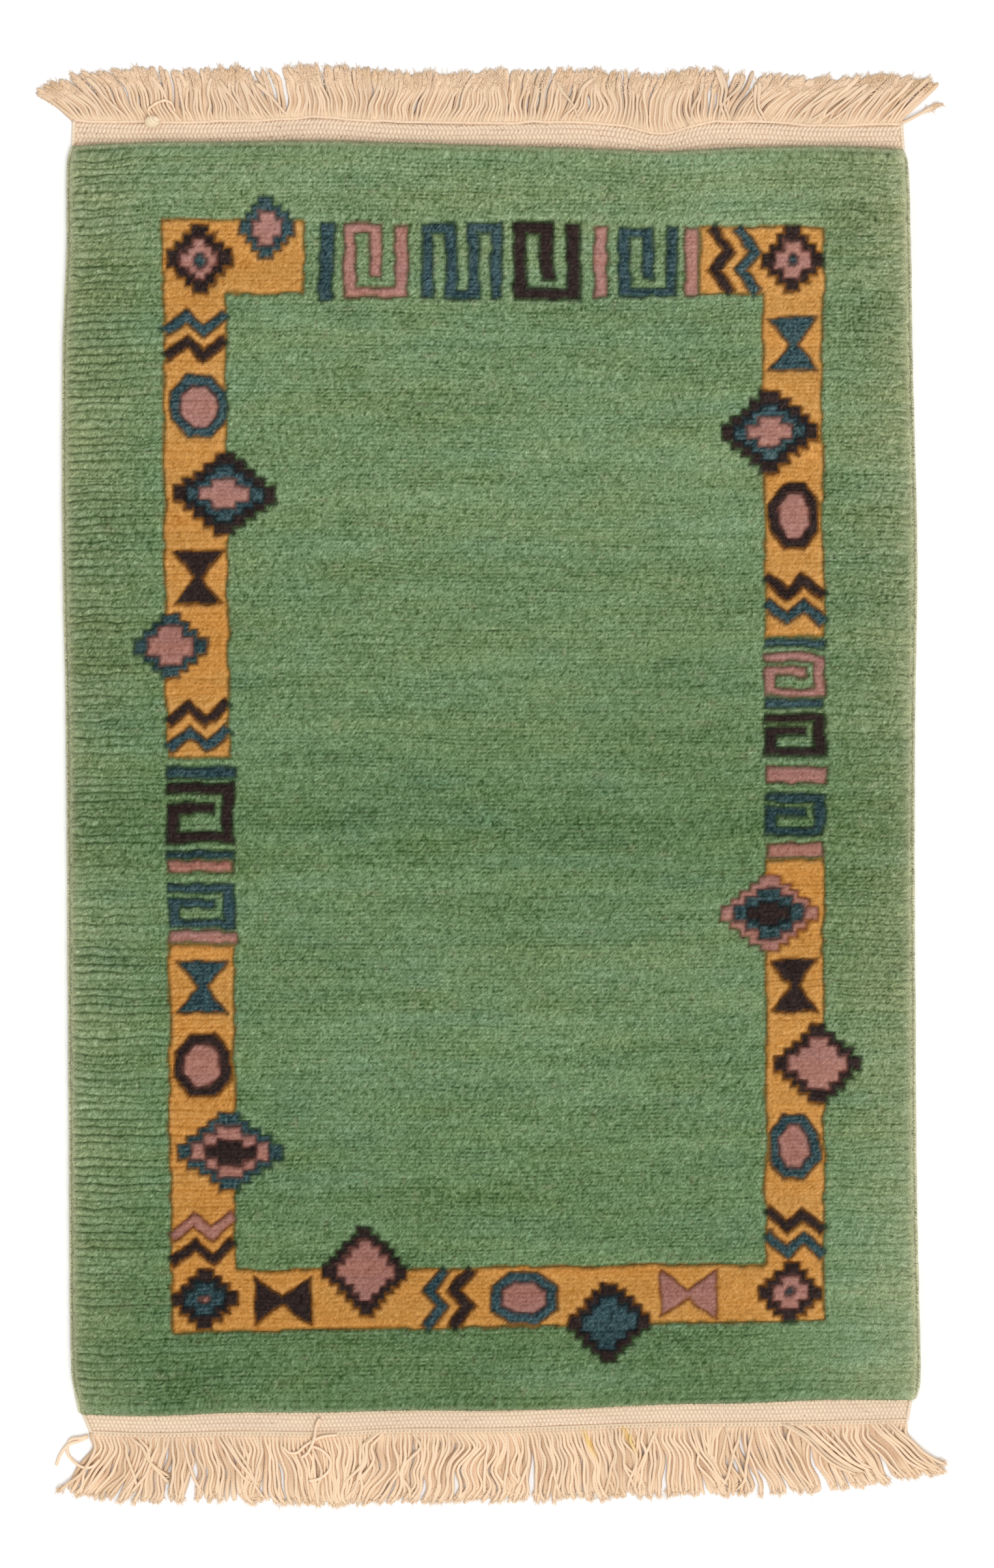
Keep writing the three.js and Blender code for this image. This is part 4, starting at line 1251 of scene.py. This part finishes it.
def make_selvedge(column):
    """Wool yarn overcast round the edge warps, each wrap a small ridge that leans a little."""
    inward = SELVEDGE_WIDTH / 2 * (1 if column == "left" else -1)
    steps = 2 * round(SELVEDGE["length"] / SELVEDGE["pitch"])
    low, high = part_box(f"selvedge_{column}")
    y = np.linspace(low.y / MM - SHIFT[1], high.y / MM - SHIFT[1], steps + 1)
    x = table_value(SIDES, column, y) + inward + line_noise(y, SELVEDGE["sway"])
    wraps = every_other(steps, 1.0, SELVEDGE["between"])
    radii = (wraps + line_noise(y, SELVEDGE["uneven"])) * SELVEDGE_WIDTH / 2
    radii[[0, -1]] *= SELVEDGE["end"]
    centres = np.stack([x, y, np.full_like(y, SELVEDGE_HEIGHT / 2)], 1)[None]
    # Painted shade: the rings between the wraps take the wraps' share as a darker tone too
    dye = SELVEDGE_WOOL * ((1 + line_noise(y, *SELVEDGE["tones"])) * wraps)[:, None]
    finish = (OVERCAST_WOOL, "wool_selvedge", f"selvedge_{column}")
    squash = SELVEDGE_HEIGHT / SELVEDGE_WIDTH
    return make_yarns(f"selvedge_cord_{column}", SELVEDGE["sides"], centres, radii, dye, finish, squash)


# End webs: the stitches' width, cells in the mesh, and each end's weave
STITCH = 2.86
CELLS_PER_STITCH = 4
WEB_CELLS_ALONG = 22
WEB_WEAVE = {
    "far": {
        "row": 3.7, "slant": 0.3, "relief": 0.6, "shade": 1.1, "under_pile": 0.8, "foot_shade": 0.15,
        "seam": 0.3, "dots": 0.009, "tone": 1.0,
    },
    "near": {
        "row": 2.9, "slant": 0.1, "relief": 0.4, "shade": 0.95, "under_pile": 0.8, "foot_shade": 0.1,
        "seam": 0.5, "dots": 0.004, "tone": 0.99,
    },
}

# What the two webs have in common. The far one's last row is herringbone
WEB = {
    "under_strip": 0.5, "row_waves": (0.35, 22, 6, 51), "herringbone": 0.9, "turns": (1, 150, 400, 56),
    "stitch_waves": (0.12, 9, 5, 57), "bead_power": 0.4, "bead_least": 0.1, "stitch_power": 0.8,
    "dot_seed": 52, "dot_within": 0.35, "dots_in_herringbone": 2, "dot_depth": 0.4,
    "height": 1.5, "waves": (0.12, 9, 4, 53), "end_dip": 0.6, "end_from": 0.96,
    "seam_at": 0.6, "seam_waves": (0.4, 40, 9, 58), "seam_width": 0.55, "seam_pitch": 3,
    "seam_between": 0.25, "shade_power": 1.6, "patches": (0.04, 30, 9, 54), "grain_seed": 55, "grain": 0.055,
    "between_threads": 0.05, "painted_light_by_pile": 0.14, "painted_light_reach": 4,
}


def make_web(end):
    """Flat-woven web between the pile and the strip, in rows of small upright stitches."""
    weave = WEB_WEAVE[end["name"]]
    cells = CELLS_PER_STITCH * round((end["right"][0] - end["left"][0]) / STITCH)
    share = np.linspace(0, 1, WEB_CELLS_ALONG + 1)[:, None]
    left, right = (mixed(*end[side], share) for side in ("left", "right"))
    x = left + (right - left) * np.linspace(0, 1, cells + 1)[None, :]
    pile, strip = table_value(ENDS, end["pile"], x), table_value(ENDS, end["strip"], x)
    depth = np.abs(strip - pile)
    out = share * (depth + WEB["under_strip"])
    y = pile + end["direction"] * out
    inner = depth - out

    # Stitches lie in rows whose slant turns from row to row
    row_place = (inner + layered_noise(x, y, WEB["row_waves"])) / weave["row"]
    row = np.floor(row_place)
    within = row_place - row
    herringbone = (row == 0) * (end["name"] == "far")
    lean_way = np.sign(layered_noise(x, y, WEB["turns"]))
    slant = np.where(herringbone, WEB["herringbone"] * lean_way, weave["slant"] * np.where(row % 2, 1, -1))
    stitch_place = x / STITCH + (row % 2) / 2 + slant * (within - 0.5)
    stitch_place = stitch_place + layered_noise(x, y, WEB["stitch_waves"])
    stitch = (1 + np.cos(2 * math.pi * stitch_place)) / 2
    bead = np.sin(math.pi * np.clip(within, 0, 1)) ** WEB["bead_power"]
    bead = bead * mixed(WEB["bead_least"], 1, stitch ** WEB["stitch_power"])
    luck = np.random.default_rng(WEB["dot_seed"]).uniform(0, 1, x.shape)
    dot_share = weave["dots"] * (1 + WEB["dots_in_herringbone"] * herringbone)
    dot = luck < dot_share * (within < WEB["dot_within"])
    z = WEB["height"] + weave["relief"] * bead + layered_noise(x, y, WEB["waves"]) - WEB["dot_depth"] * dot
    z = z - WEB["end_dip"] * smooth_step(share, WEB["end_from"], 1)

    # Shade between the stitches, in the seam along the strip and at the foot of the pile
    column = np.arange(cells + 1)[None, :]
    seam = bell(inner - WEB["seam_at"] - line_noise(x, WEB["seam_waves"]), 0, WEB["seam_width"])
    seam = seam * np.where(column % WEB["seam_pitch"] == 0, WEB["seam_between"], 1)
    shade = weave["shade"] * (1 - bead) ** WEB["shade_power"] + weave["seam"] * seam
    shade = np.clip(shade + weave["foot_shade"] * np.exp(-out / weave["under_pile"]), 0, 1)
    grain = np.random.default_rng(WEB["grain_seed"]).normal(0, WEB["grain"], x.shape)
    tone = weave["tone"] + layered_noise(x, y, WEB["patches"]) + grain
    # Painted shade between threads: every other column of points is a little darker
    tone = tone - WEB["between_threads"] * (column % 2)
    # Painted light on the web just beside the pile, against the shade that the pile casts there
    tone = tone + WEB["painted_light_by_pile"] * np.exp(-out / WEB["painted_light_reach"])
    dye = mixed(WEB_COTTON, WEB_SHADE, shade[..., None]) * tone[..., None]
    dye = np.where(dot[..., None], WEB_DOT, dye)
    mesh = grid_mesh(f"web_{end['name']}", cells, WEB_CELLS_ALONG)
    if end["direction"] < 0:
        mesh.flip_normals()
    move_points(mesh, np.stack([x, y, z], 2))
    set_dye(mesh, dye)
    return finish_piece(mesh, WOVEN_COTTON, "cotton_web", f"end_web_{end['name']}")


# Overcast edges of the webs: thick and thin rings by turns, higher at the pile than at the strip; the thin
# rings are painted darker, as painted shade between the wraps
BINDING = {
    "steps": 14, "sides": 8, "over_strip": 1.2, "height": 1.65, "higher_at_pile": 0.5,
    "radii": (1.45, 1.2), "tones": (1.0, 0.82),
}


def make_web_binding(end, side):
    """Overcast edge of the web, from the corner of the pile to the strip."""
    at_pile, at_strip = end[side]
    pile, strip = (float(table_value(ENDS, end[name], at_pile)) for name in ("pile", "strip"))
    steps = BINDING["steps"]
    t = np.linspace(0, 1, steps + 1)
    x = at_pile + (at_strip - at_pile) * t
    y = pile + (strip + end["direction"] * BINDING["over_strip"] - pile) * t
    z = BINDING["height"] + BINDING["higher_at_pile"] * (1 - t)
    # The thin rings get the darker tone, as painted shade between the wraps
    radii, tone = (every_other(steps, *BINDING[name]) for name in ("radii", "tones"))
    name = f"web_binding_{end['name']}_{side}"
    finish = (WOVEN_COTTON, "cotton_web", f"end_web_{end['name']}")
    centres = np.stack([x, y, z], 1)[None]
    return make_yarns(name, BINDING["sides"], centres, radii, WEB_COTTON * tone[:, None], finish)


# Fringes: each end's strands lie in two layers, and each layer has its own spread
STRANDS = 205
LOWER_RADIUS = 2.0
LOWER_FLATNESS = 0.46
LAYERS = {
    "upper": {
        "seed": 0, "offset": 0.5, "lean_spread": 1.8, "own_way": 0.0, "wiggle": 1,
        "sides": 6, "steps": 16, "tone_spread": 0.03,
    },
    "lower": {
        "seed": 100, "offset": 0.04, "lean_spread": 0.9, "own_way": 5.0, "wiggle": 0.5,
        "sides": 5, "steps": 11, "tone_spread": 0.06,
    },
}

# How strands lie: roots inside the strip, spread of their lean, reach, bow and lift, and their clumps
ROOT_INSET = 1.4
PARTING_REACH = 9
STRAND_LAY = {
    "lean_noise": (1, 17, 9, 61), "reach": (-3, 1.2), "bow": 0.5, "lift": 0.3, "clump": (4, 13),
    "crossing_bow": 250, "crossing_way": 150, "crossing_way_slope": 0.8,
}
STRAYS = {"lean": 6, "shorter": (0, 6), "lift": (0.8, 2), "own_way": (10, 60)}

# Shares of tan in the cotton: everywhere, and in soiled patches given by grain, seed and range
TAN = {"least": 0.1, "length": 40, "grain": (13, 16), "seed": 7, "from": (0.25, 0.9)}

# Shape of the strands along their way: bends, spreading from the partings and height above the floor
STRAND_SHAPE = {
    "arch_lean": 25, "bow_peak": 6.75, "spread_power": 1.5, "floor_gap": 0.06, "rest": 0.85,
    "ripple_seed": 3, "small_ripple": (0.3, 8, 11), "small_seed": 4, "wiggle": (0.4, 8), "wiggle_seed": 5,
    "root": (0.03, 0.18), "tip_sinks": 0.3, "lifted": (0, 0.3), "tip_falls": 0.45, "falls": (0.6, 1),
}


class FringeLay:
    """How one layer's strands lie: where each is rooted, how far it leans and reaches and how it bends."""

    def __init__(self, end, layer):
        own = LAYERS[layer]
        random = np.random.default_rng(end["seed"] + own["seed"])
        left, right = end["left"][1], end["right"][1]
        root = left + (np.arange(STRANDS) + own["offset"]) * ((right - left) / STRANDS)
        self.end, self.own, self.lower, self.root = end, own, layer == "lower", root
        self.root_y = table_value(ENDS, end["strip"], root) + end["direction"] * ROOT_INSET
        self.lean = table_value(end["lay"], "lean", root)
        self.lean += end["wander"] * line_noise(root, STRAND_LAY["lean_noise"])
        self.lean += random.normal(0, own["lean_spread"], STRANDS)
        self.reach = table_value(end["lay"], "reach", root) + random.uniform(*STRAND_LAY["reach"], STRANDS)
        self.reach += STRIP_DEPTH - ROOT_INSET
        self.bow = table_value(end["lay"], "bow", root) + random.normal(0, STRAND_LAY["bow"], STRANDS)
        self.lift = np.abs(random.normal(0, STRAND_LAY["lift"], STRANDS))
        self.own_way = own["own_way"] + 0 * root

        # Strands lie in clumps that gather towards their tips
        sizes = random.integers(*STRAND_LAY["clump"], STRANDS)
        clump = np.repeat(np.arange(STRANDS), sizes)[:STRANDS]
        middle = np.array([root[clump == number].mean() for number in clump])
        self.gather = (middle - root) * random.uniform(0, 2 * end["gather"], STRANDS)[clump]
        self.spread = 0 * root
        for place_x, push in end["partings"]:
            away = root - place_x
            self.spread += push * np.sign(away) * np.exp(-np.abs(away) / PARTING_REACH)

        # A few strands stray across their neighbours and lie on top of them
        if not self.lower:
            stray = random.uniform(0, 1, STRANDS) < end["stray_share"]
            self.lean += stray * random.normal(0, STRAYS["lean"], STRANDS)
            self.reach -= stray * random.uniform(*STRAYS["shorter"], STRANDS)
            self.lift += stray * random.uniform(*STRAYS["lift"], STRANDS)
            self.own_way += stray * random.uniform(*STRAYS["own_way"], STRANDS)
            for place_x, lean, reach, lift in end["crossing"]:
                k = int(np.argmin(np.abs(root - place_x)))
                self.lean[k], self.reach[k], self.lift[k] = lean, reach + STRIP_DEPTH, lift
                self.bow[k] = lean * np.abs(lean) / STRAND_LAY["crossing_bow"]
                self.spread[k], self.gather[k] = 0, 0
                self.own_way[k] = STRAND_LAY["crossing_way"] - STRAND_LAY["crossing_way_slope"] * root[k]

    def tan(self, t):
        """Share of tan in the cotton at shares t of the way: more at the tips, and in soiled patches."""
        root = self.root[:, None] + 0 * t
        patch = cloth_noise(root, TAN["length"] * t, *TAN["grain"], self.end["seed"] + TAN["seed"])
        patch = smooth_step(patch, *TAN["from"])
        return TAN["least"] + self.end["tan"] * t ** 2 + self.end["tan_patch"] * t * patch

    def points(self, t):
        """Points of all strands at shares t of their way, as strands x shares x 3."""
        shape, end = STRAND_SHAPE, self.end
        t = np.broadcast_to(t, (STRANDS, np.shape(t)[-1]))
        columns = ("root", "root_y", "lean", "reach", "bow", "lift", "own_way", "gather", "spread")
        root, root_y, lean, reach, bow, lift, own_way, gather, spread = (
            getattr(self, column)[:, None] for column in columns
        )
        out = reach * (t + end["arch"] * np.abs(lean) / shape["arch_lean"] * t * (1 - t))
        ripple_seed, small_seed, wiggle_seed = (
            end["seed"] + shape[name] for name in ("ripple_seed", "small_seed", "wiggle_seed")
        )
        bends = layered_noise(
            root + own_way, out, (1, *end["ripple"], ripple_seed), (*shape["small_ripple"], small_seed)
        )
        wiggle = cloth_noise(root + own_way, out, *shape["wiggle"], wiggle_seed)
        wiggle = wiggle * end["wiggle"] * self.own["wiggle"]
        x = root + lean * (end["early"] * t * (1 - t) + t * t) + shape["bow_peak"] * bow * t * (1 - t) ** 2
        x = x + (end["bend"] * bends + wiggle) * smooth_step(t, 0, end["bend_from"])
        x = x + spread * t ** shape["spread_power"] + gather * t * t
        y = root_y + end["direction"] * out
        if self.lower:
            return np.stack([x, y, LOWER_RADIUS * LOWER_FLATNESS + shape["floor_gap"] + 0 * x], 2)
        rest = end["strand_radius"] + shape["rest"] * smooth_step(t, *shape["root"]) - shape["tip_sinks"] * t
        lifted = lift * smooth_step(t, *shape["lifted"])
        lifted = lifted * (1 - shape["tip_falls"] * smooth_step(t, *shape["falls"]))
        return np.stack([x, y, rest + lifted], 2)


# Two faint yellow stains on the near fringe: place, reach across and along, slope and share
STAINS = [(70, -472, 1.7, 10, -0.45, 0.9), (98, -468, 2.2, 10, -0.5, 0.8)]


def stained(points, dye):
    """Dye with the stains on it."""
    for x, y, across, along, slope, share in STAINS:
        beside = points[..., 0] - x - slope * (points[..., 1] - y)
        weight = share * bell(beside, 0, across) * bell(points[..., 1], y, along)
        dye = mixed(dye, STAIN, weight[..., None])
    return dye


# Strands: spread of their thickness, tips that open and end blunt, and painted shade in the lower layer and
# on each strand's lower flank
STRAND = {
    "radius": (0.92, 1.06), "opens_over": 0.25, "tip": (0.93, 1.02), "sinks": 0.8,
    "shade": 0.28, "shade_spread": 0.24, "length": 60, "grain": (11, 16), "shade_seed": 6,
    "shade_ends": 0.9, "ends": (0.6, 1), "flank_below": 0.6,
}


def make_strands(lay):
    """Plied warp ends that lie loose on the floor, in two layers."""
    end, own = lay.end, lay.own
    random = np.random.default_rng(end["seed"] + 1)
    radius, flatness = (LOWER_RADIUS, LOWER_FLATNESS) if lay.lower else (end["strand_radius"], 1)
    t = np.linspace(0, 1, own["steps"] + 1)
    centres = lay.points(t)
    opened = smooth_step(t, end["opens"], end["opens"] + STRAND["opens_over"])
    opened = opened * (0 if lay.lower else end["open_width"] - 1)
    profile = (1 - end["taper"] * t + opened) * (1 - end["blunt"] * smooth_step(t, *STRAND["tip"]))
    radii = radius * random.uniform(*STRAND["radius"], (STRANDS, 1)) * profile
    squash = flatness / (1 + opened) ** 2
    centres[..., 2] -= 0 if lay.lower else (radii * (1 - squash) * STRAND["sinks"])
    layer = "lower" if lay.lower else "upper"
    mesh = tube_mesh(f"{layer}_strands_{end['name']}", own["sides"], own["steps"], STRANDS)
    ring, height = bend_tubes(mesh, centres, radii, squash)
    tone = random.normal(end["tone"], own["tone_spread"], (STRANDS, 1, 1))
    tan = lay.tan(np.tile(t, (STRANDS, 1)))[..., None]
    dye = mixed(COTTON, COTTON_TAN, tan) * tone
    if lay.lower:
        grain = (*STRAND["grain"], end["seed"] + STRAND["shade_seed"])
        under = STRAND["shade_spread"] * cloth_noise(lay.root[:, None], STRAND["length"] * t, *grain)
        under = (STRAND["shade"] + under) * (1 - STRAND["shade_ends"] * smooth_step(t, *STRAND["ends"]))
        dye = mixed(dye, COTTON_SHADE, under[..., None])
    dye = stained(centres, dye)[:, ring]
    # Painted shade on the lower flank of each strand
    flank_shade = (end["flank_shade"] * np.clip(STRAND["flank_below"] - height, 0, 1))[None, :, None]
    set_dye(mesh, mixed(dye, COTTON_SHADE, flank_shade))
    return finish_piece(mesh, PLIED_COTTON, "cotton_fringe", f"fringe_{end['name']}")


# Wisps: where the last ones start, their rise, how far they lie beside a strand, and their height and tone;
# they are painted lighter than the strands, as painted light
WISPS = {
    "last": 0.98, "step": 0.02, "rise": (-0.2, 0.12), "beside": 0.8, "height": (0.8, 2.6), "lowest": 0.35,
    "squash": 0.6, "lighter": 0.13, "tone_spread": 0.05,
}


def make_wisps(lay):
    """Loose fibres where the strands have come undone, thickest at the far end."""
    end = lay.end
    random = np.random.default_rng(end["seed"] + 2)
    count = STRANDS * end["wisps"]
    share = random.uniform(end["wisp_from"], WISPS["last"], (STRANDS, end["wisps"]))
    start = lay.points(share).reshape(count, 3)
    ahead = lay.points(share + WISPS["step"]).reshape(count, 3) - start
    heading = np.arctan2(ahead[:, 1], ahead[:, 0]) + random.normal(0, end["wisp_spread"], count)
    length = random.uniform(*end["wisp_length"], count)
    rise = random.uniform(*WISPS["rise"], count)
    start[:, :2] += random.normal(0, WISPS["beside"], (count, 2))
    start[:, 2] = random.uniform(*WISPS["height"], count)
    tip = start + length[:, None] * np.stack([np.cos(heading), np.sin(heading), rise], 1)
    centres = np.stack([start, tip], 1)
    centres[..., 2] = np.maximum(centres[..., 2], WISPS["lowest"])
    tan = lay.tan(share).reshape(count, 1, 1)
    # Painted light: wisps are toned lighter than the strands they come from
    tone = random.normal(end["tone"] + WISPS["lighter"], WISPS["tone_spread"], (count, 1, 1))
    dye = stained(centres, mixed(COTTON, COTTON_TAN, tan) * tone)
    finish = (FRAYED_COTTON, "cotton_fringe", f"fringe_{end['name']}")
    return make_yarns(f"wisps_{end['name']}", 3, centres, end["wisp_radii"], dye, finish, WISPS["squash"])


# The strips at the strands' roots: places and sizes in millimetres, tones and layers of noise
TWINE = {
    "steps": 640, "sides": 6, "pitch": 4.2, "beside": 1.25, "turn_across": 0.55, "turn_up": 0.42,
    "sway": (0.7, 13, 9, 65), "height": 1.6, "radius": 0.78,
    "tone": 0.97, "uneven": (0.04, 12, 12, 64), "groove_shade": 0.14, "groove_power": 8,
}
HEM = {
    "steps": 320, "sides": 10, "beside": 1.5, "height": 1.65, "radius": 1.75, "squash": 0.36,
    "tone": 0.89, "uneven": (0.03, 12, 12, 64),
}


def make_twine(end):
    """The far strip at the strands' roots: two cords twined round each other along the whole end."""
    x = np.linspace(end["left"][1], end["right"][1], TWINE["steps"] + 1)
    strip = table_value(ENDS, end["strip"], x) + end["direction"] * TWINE["beside"]
    turn = 2 * math.pi * x / TWINE["pitch"]
    centres = []
    for phase in (0, math.pi):
        y = strip + TWINE["turn_across"] * np.cos(turn + phase) + line_noise(x, TWINE["sway"])
        z = TWINE["height"] + TWINE["turn_up"] * np.sin(turn + phase)
        centres.append(np.stack([x, y, z], 1))
    tone = TWINE["tone"] + line_noise(x, TWINE["uneven"])
    # Painted shade in the grooves where the two cords turn round each other
    tone = tone - TWINE["groove_shade"] * np.cos(turn) ** TWINE["groove_power"]
    dye = COTTON * tone[:, None]
    finish = (FRAYED_COTTON, "cotton_fringe", f"fringe_{end['name']}")
    return make_yarns(
        f"twine_{end['name']}", TWINE["sides"], np.array(centres), TWINE["radius"], dye, finish
    )


def make_hem(end):
    """The near strip at the strands' roots: a flat band of close threads that slant across it."""
    x = np.linspace(end["left"][1], end["right"][1], HEM["steps"] + 1)
    y = table_value(ENDS, end["strip"], x) + end["direction"] * HEM["beside"]
    centres = np.stack([x, y, np.full_like(x, HEM["height"])], 1)[None]
    dye = COTTON * (HEM["tone"] + line_noise(x, HEM["uneven"]))[:, None]
    finish = (SLANTED_COTTON, "cotton_fringe", f"fringe_{end['name']}")
    return make_yarns(
        f"hem_{end['name']}", HEM["sides"], centres, HEM["radius"], dye, finish, HEM["squash"]
    )


# Strands of the near end that curl back on themselves, at the left corner and over the others
LOOP_STEPS = 26
LOOP_SIDES = 6
LOOP_RADIUS = 1.1
LOOPS = [
    {
        "x": [-284.6, -290.1, -296.6, -299.3, -298.9, -294.7, -287.8, -281.4, -276.3],
        "y": [-467.5, -468.9, -469.9, -474.1, -480.5, -485.6, -489.7, -488.8, -483.7],
        "z": [1.6, 2.2, 1.9, 1.4, 1.4, 2.2, 3.4, 3.5, 3.2],
    },
    {
        "x": [-285.5, -291, -297.6, -301.2, -303.5, -305.8, -307.2],
        "y": [-468.5, -471, -472.8, -476.1, -479.2, -483.8, -488.4],
        "z": [1.5, 1.6, 2.6, 1.6, 1.3, 1.2, 1.2],
    },
    {
        "x": [-108.1, -119.8, -130.7, -136.6, -142.4, -146.6],
        "y": [-466.5, -468.1, -474, -479, -479, -474.8],
        "z": [3.2, 4.2, 4.4, 4.2, 3.8, 3.4],
    },
    {
        "x": [-127.4, -119, -113.1, -114, -120.6, -128.2],
        "y": [-474, -477.3, -484, -491.6, -497.4, -499.1],
        "z": [4, 4.3, 4.3, 4.2, 4, 3.6],
    },
    {
        "x": [-120.6, -123.2, -124.4, -129, -133.5],
        "y": [-454.7, -460.6, -468.9, -479, -482.5],
        "z": [3.6, 3.8, 5.4, 5.6, 5],
    },
]


def along_points(table, steps):
    """Evenly stepped points on a smooth curve through the points of a table."""
    points = np.stack([np.array(table[axis], float) for axis in "xyz"], 1)
    travelled = np.concatenate([[0], np.cumsum(np.linalg.norm(np.diff(points, axis=0), axis=1))])
    stops = {"at": travelled, **{axis: points[:, k] for k, axis in enumerate("xyz")}}
    at = np.linspace(0, travelled[-1], steps + 1)
    return np.stack([table_value(stops, axis, at) for axis in "xyz"], 1)


def make_loops():
    """The curled strands of the near end."""
    centres = np.stack([along_points(loop, LOOP_STEPS) for loop in LOOPS])
    finish = (PLIED_COTTON, "cotton_fringe", "fringe_near")
    return make_yarns("curled_strands", LOOP_SIDES, centres, LOOP_RADIUS, COTTON, finish)


# Knot: a ball of radius 0.5 before it gets its size, with cord wound round it in a slanting turn, and
# painted shade in the winding's grooves
BALL = {"across": 40, "along": 24, "radius": 0.5}
WINDING = {
    "tilt": Vector((0.75, 0.5, 0.43)).normalized(), "aside": Vector((-0.55, 0.83, 0)),
    "turns": 13, "sway": 0.8, "depth": 0.05, "size": 0.95, "tone": 0.8, "groove_shade": 2.4,
}


def make_knot():
    """A ball of cord wound and pulled tight on the far strip."""
    bm = bmesh.new()
    bmesh.ops.create_uvsphere(
        bm, u_segments=BALL["across"], v_segments=BALL["along"], radius=BALL["radius"]
    )
    for vert in bm.verts:
        ahead = vert.co.normalized()
        around = math.atan2(ahead.dot(WINDING["aside"]), ahead.z)
        turn = WINDING["turns"] * ahead.dot(WINDING["tilt"]) + WINDING["sway"] * math.cos(2 * around)
        vert.co = vert.co * (1 + WINDING["depth"] * math.cos(turn))
    mesh = finished_mesh(bm, "knot_ball")
    size = np.array([KNOT["across"], KNOT["along"], KNOT["height"]])
    middle = np.array([KNOT["x"], KNOT["y"], KNOT["foot"] + KNOT["height"] / 2])
    ball = mesh_points(mesh)
    wound = np.linalg.norm(ball, axis=1) / BALL["radius"] - 1 + WINDING["depth"]
    move_points(mesh, ball * size * WINDING["size"] + middle)
    # Painted shade: the winding's grooves are darker and its crests a little lighter
    set_dye(mesh, KNOT_COTTON * (WINDING["tone"] + WINDING["groove_shade"] * wound)[:, None])
    return finish_piece(mesh, WOVEN_COTTON, "cotton_fringe", "tied_knot")


# The knot's free end
TAIL_CORD = {
    "steps": 30, "sides": 6, "half_turns": 5, "apart": 0.42, "radius": 0.6, "end": 0.3, "tone": 1.02,
}


def make_tail():
    """The knot's free end: two thin cords that lie together over the strands."""
    steps = TAIL_CORD["steps"]
    line = along_points(TAIL, steps)
    twist = np.linspace(0, TAIL_CORD["half_turns"] * math.pi, steps + 1)
    offset = np.stack([np.zeros(steps + 1), np.cos(twist), np.sin(twist)], 1) * TAIL_CORD["apart"]
    radii = np.full(steps + 1, TAIL_CORD["radius"])
    radii[-1] = TAIL_CORD["end"]
    centres = np.stack([line + offset, line - offset])
    finish = (FRAYED_COTTON, "cotton_fringe", "tied_knot")
    return make_yarns("knot_tail", TAIL_CORD["sides"], centres, radii, COTTON * TAIL_CORD["tone"], finish)


# Studio: pale floor, soft light and a camera straight above. The photo's width, height, millimetres to a
# pixel and the pixel over the rug's own middle give the camera its place
PHOTO_WIDTH, PHOTO_HEIGHT = 1526, 2408
PHOTO_SCALE = 0.4605
PHOTO_ORIGIN = (752, 1192.5)
SENSOR = 36
LENS = 150
SEEN_FROM, SEEN_TO = 0.1, 50
FLOOR_HALF = 6
FLOOR_BELOW = 0.0003
PAPER = {"Base Color": (0.95, 0.95, 0.95, 1), "Roughness": 0.9, "Specular IOR Level": 0.1}
KEY_LIGHT = {"energy": 1.5, "angle": 34, "toward": Vector((-0.2, 0.42, -0.88))}
SURROUND_LIGHT = 0.74


def make_camera():
    """Looks straight down with a long lens, so that the photo's frame fits at the pile's top."""
    camera = shown_object("camera", bpy.data.cameras.new("camera"))
    camera.data.sensor_width = SENSOR
    camera.data.lens = LENS
    middle_x = (PHOTO_WIDTH / 2 - PHOTO_ORIGIN[0]) * PHOTO_SCALE
    middle_y = (PHOTO_ORIGIN[1] - PHOTO_HEIGHT / 2) * PHOTO_SCALE
    distance = PHOTO_HEIGHT * PHOTO_SCALE * LENS / SENSOR
    camera.location = place((middle_x, middle_y, PILE_TOP + distance))
    camera.data.clip_start, camera.data.clip_end = SEEN_FROM, SEEN_TO
    bpy.context.scene.camera = camera


def make_studio():
    """A white floor under a soft key light from the near side and an even white surround."""
    bm = bmesh.new()
    bmesh.ops.create_grid(bm, x_segments=1, y_segments=1, size=FLOOR_HALF)
    floor = shown_object("floor", finished_mesh(bm, "floor"))
    floor.location.z = -FLOOR_BELOW
    paper = bpy.data.materials.new("matt_white_paper")
    paper.use_nodes = True
    for socket, value in PAPER.items():
        paper.node_tree.nodes["Principled BSDF"].inputs[socket].default_value = value
    floor.data.materials.append(paper)

    key = shown_object("key", bpy.data.lights.new("key", "SUN"))
    key.data.energy = KEY_LIGHT["energy"]
    key.data.angle = math.radians(KEY_LIGHT["angle"])
    key.rotation_mode = "QUATERNION"
    key.rotation_quaternion = KEY_LIGHT["toward"].to_track_quat("-Z", "Y")

    world = bpy.data.worlds.new("surround")
    world.use_nodes = True
    surround = world.node_tree.nodes["Background"]
    surround.inputs["Color"].default_value = (1, 1, 1, 1)
    surround.inputs["Strength"].default_value = SURROUND_LIGHT
    bpy.context.scene.world = world
    bpy.context.scene.view_settings.view_transform = "Standard"


make_camera()
make_studio()
pile = make_pile()
back = make_foundation()
parts = [make_rim_tufts(), make_selvedge("left"), make_selvedge("right")]
for end in (FAR_END, NEAR_END):
    upper, lower = FringeLay(end, "upper"), FringeLay(end, "lower")
    parts += [make_web(end), make_strands(upper), make_strands(lower), make_wisps(upper)]
    parts += [make_web_binding(end, side) for side in ("left", "right")]
parts += [make_twine(FAR_END), make_hem(NEAR_END)]
parts += [make_loops(), make_knot(), make_tail()]
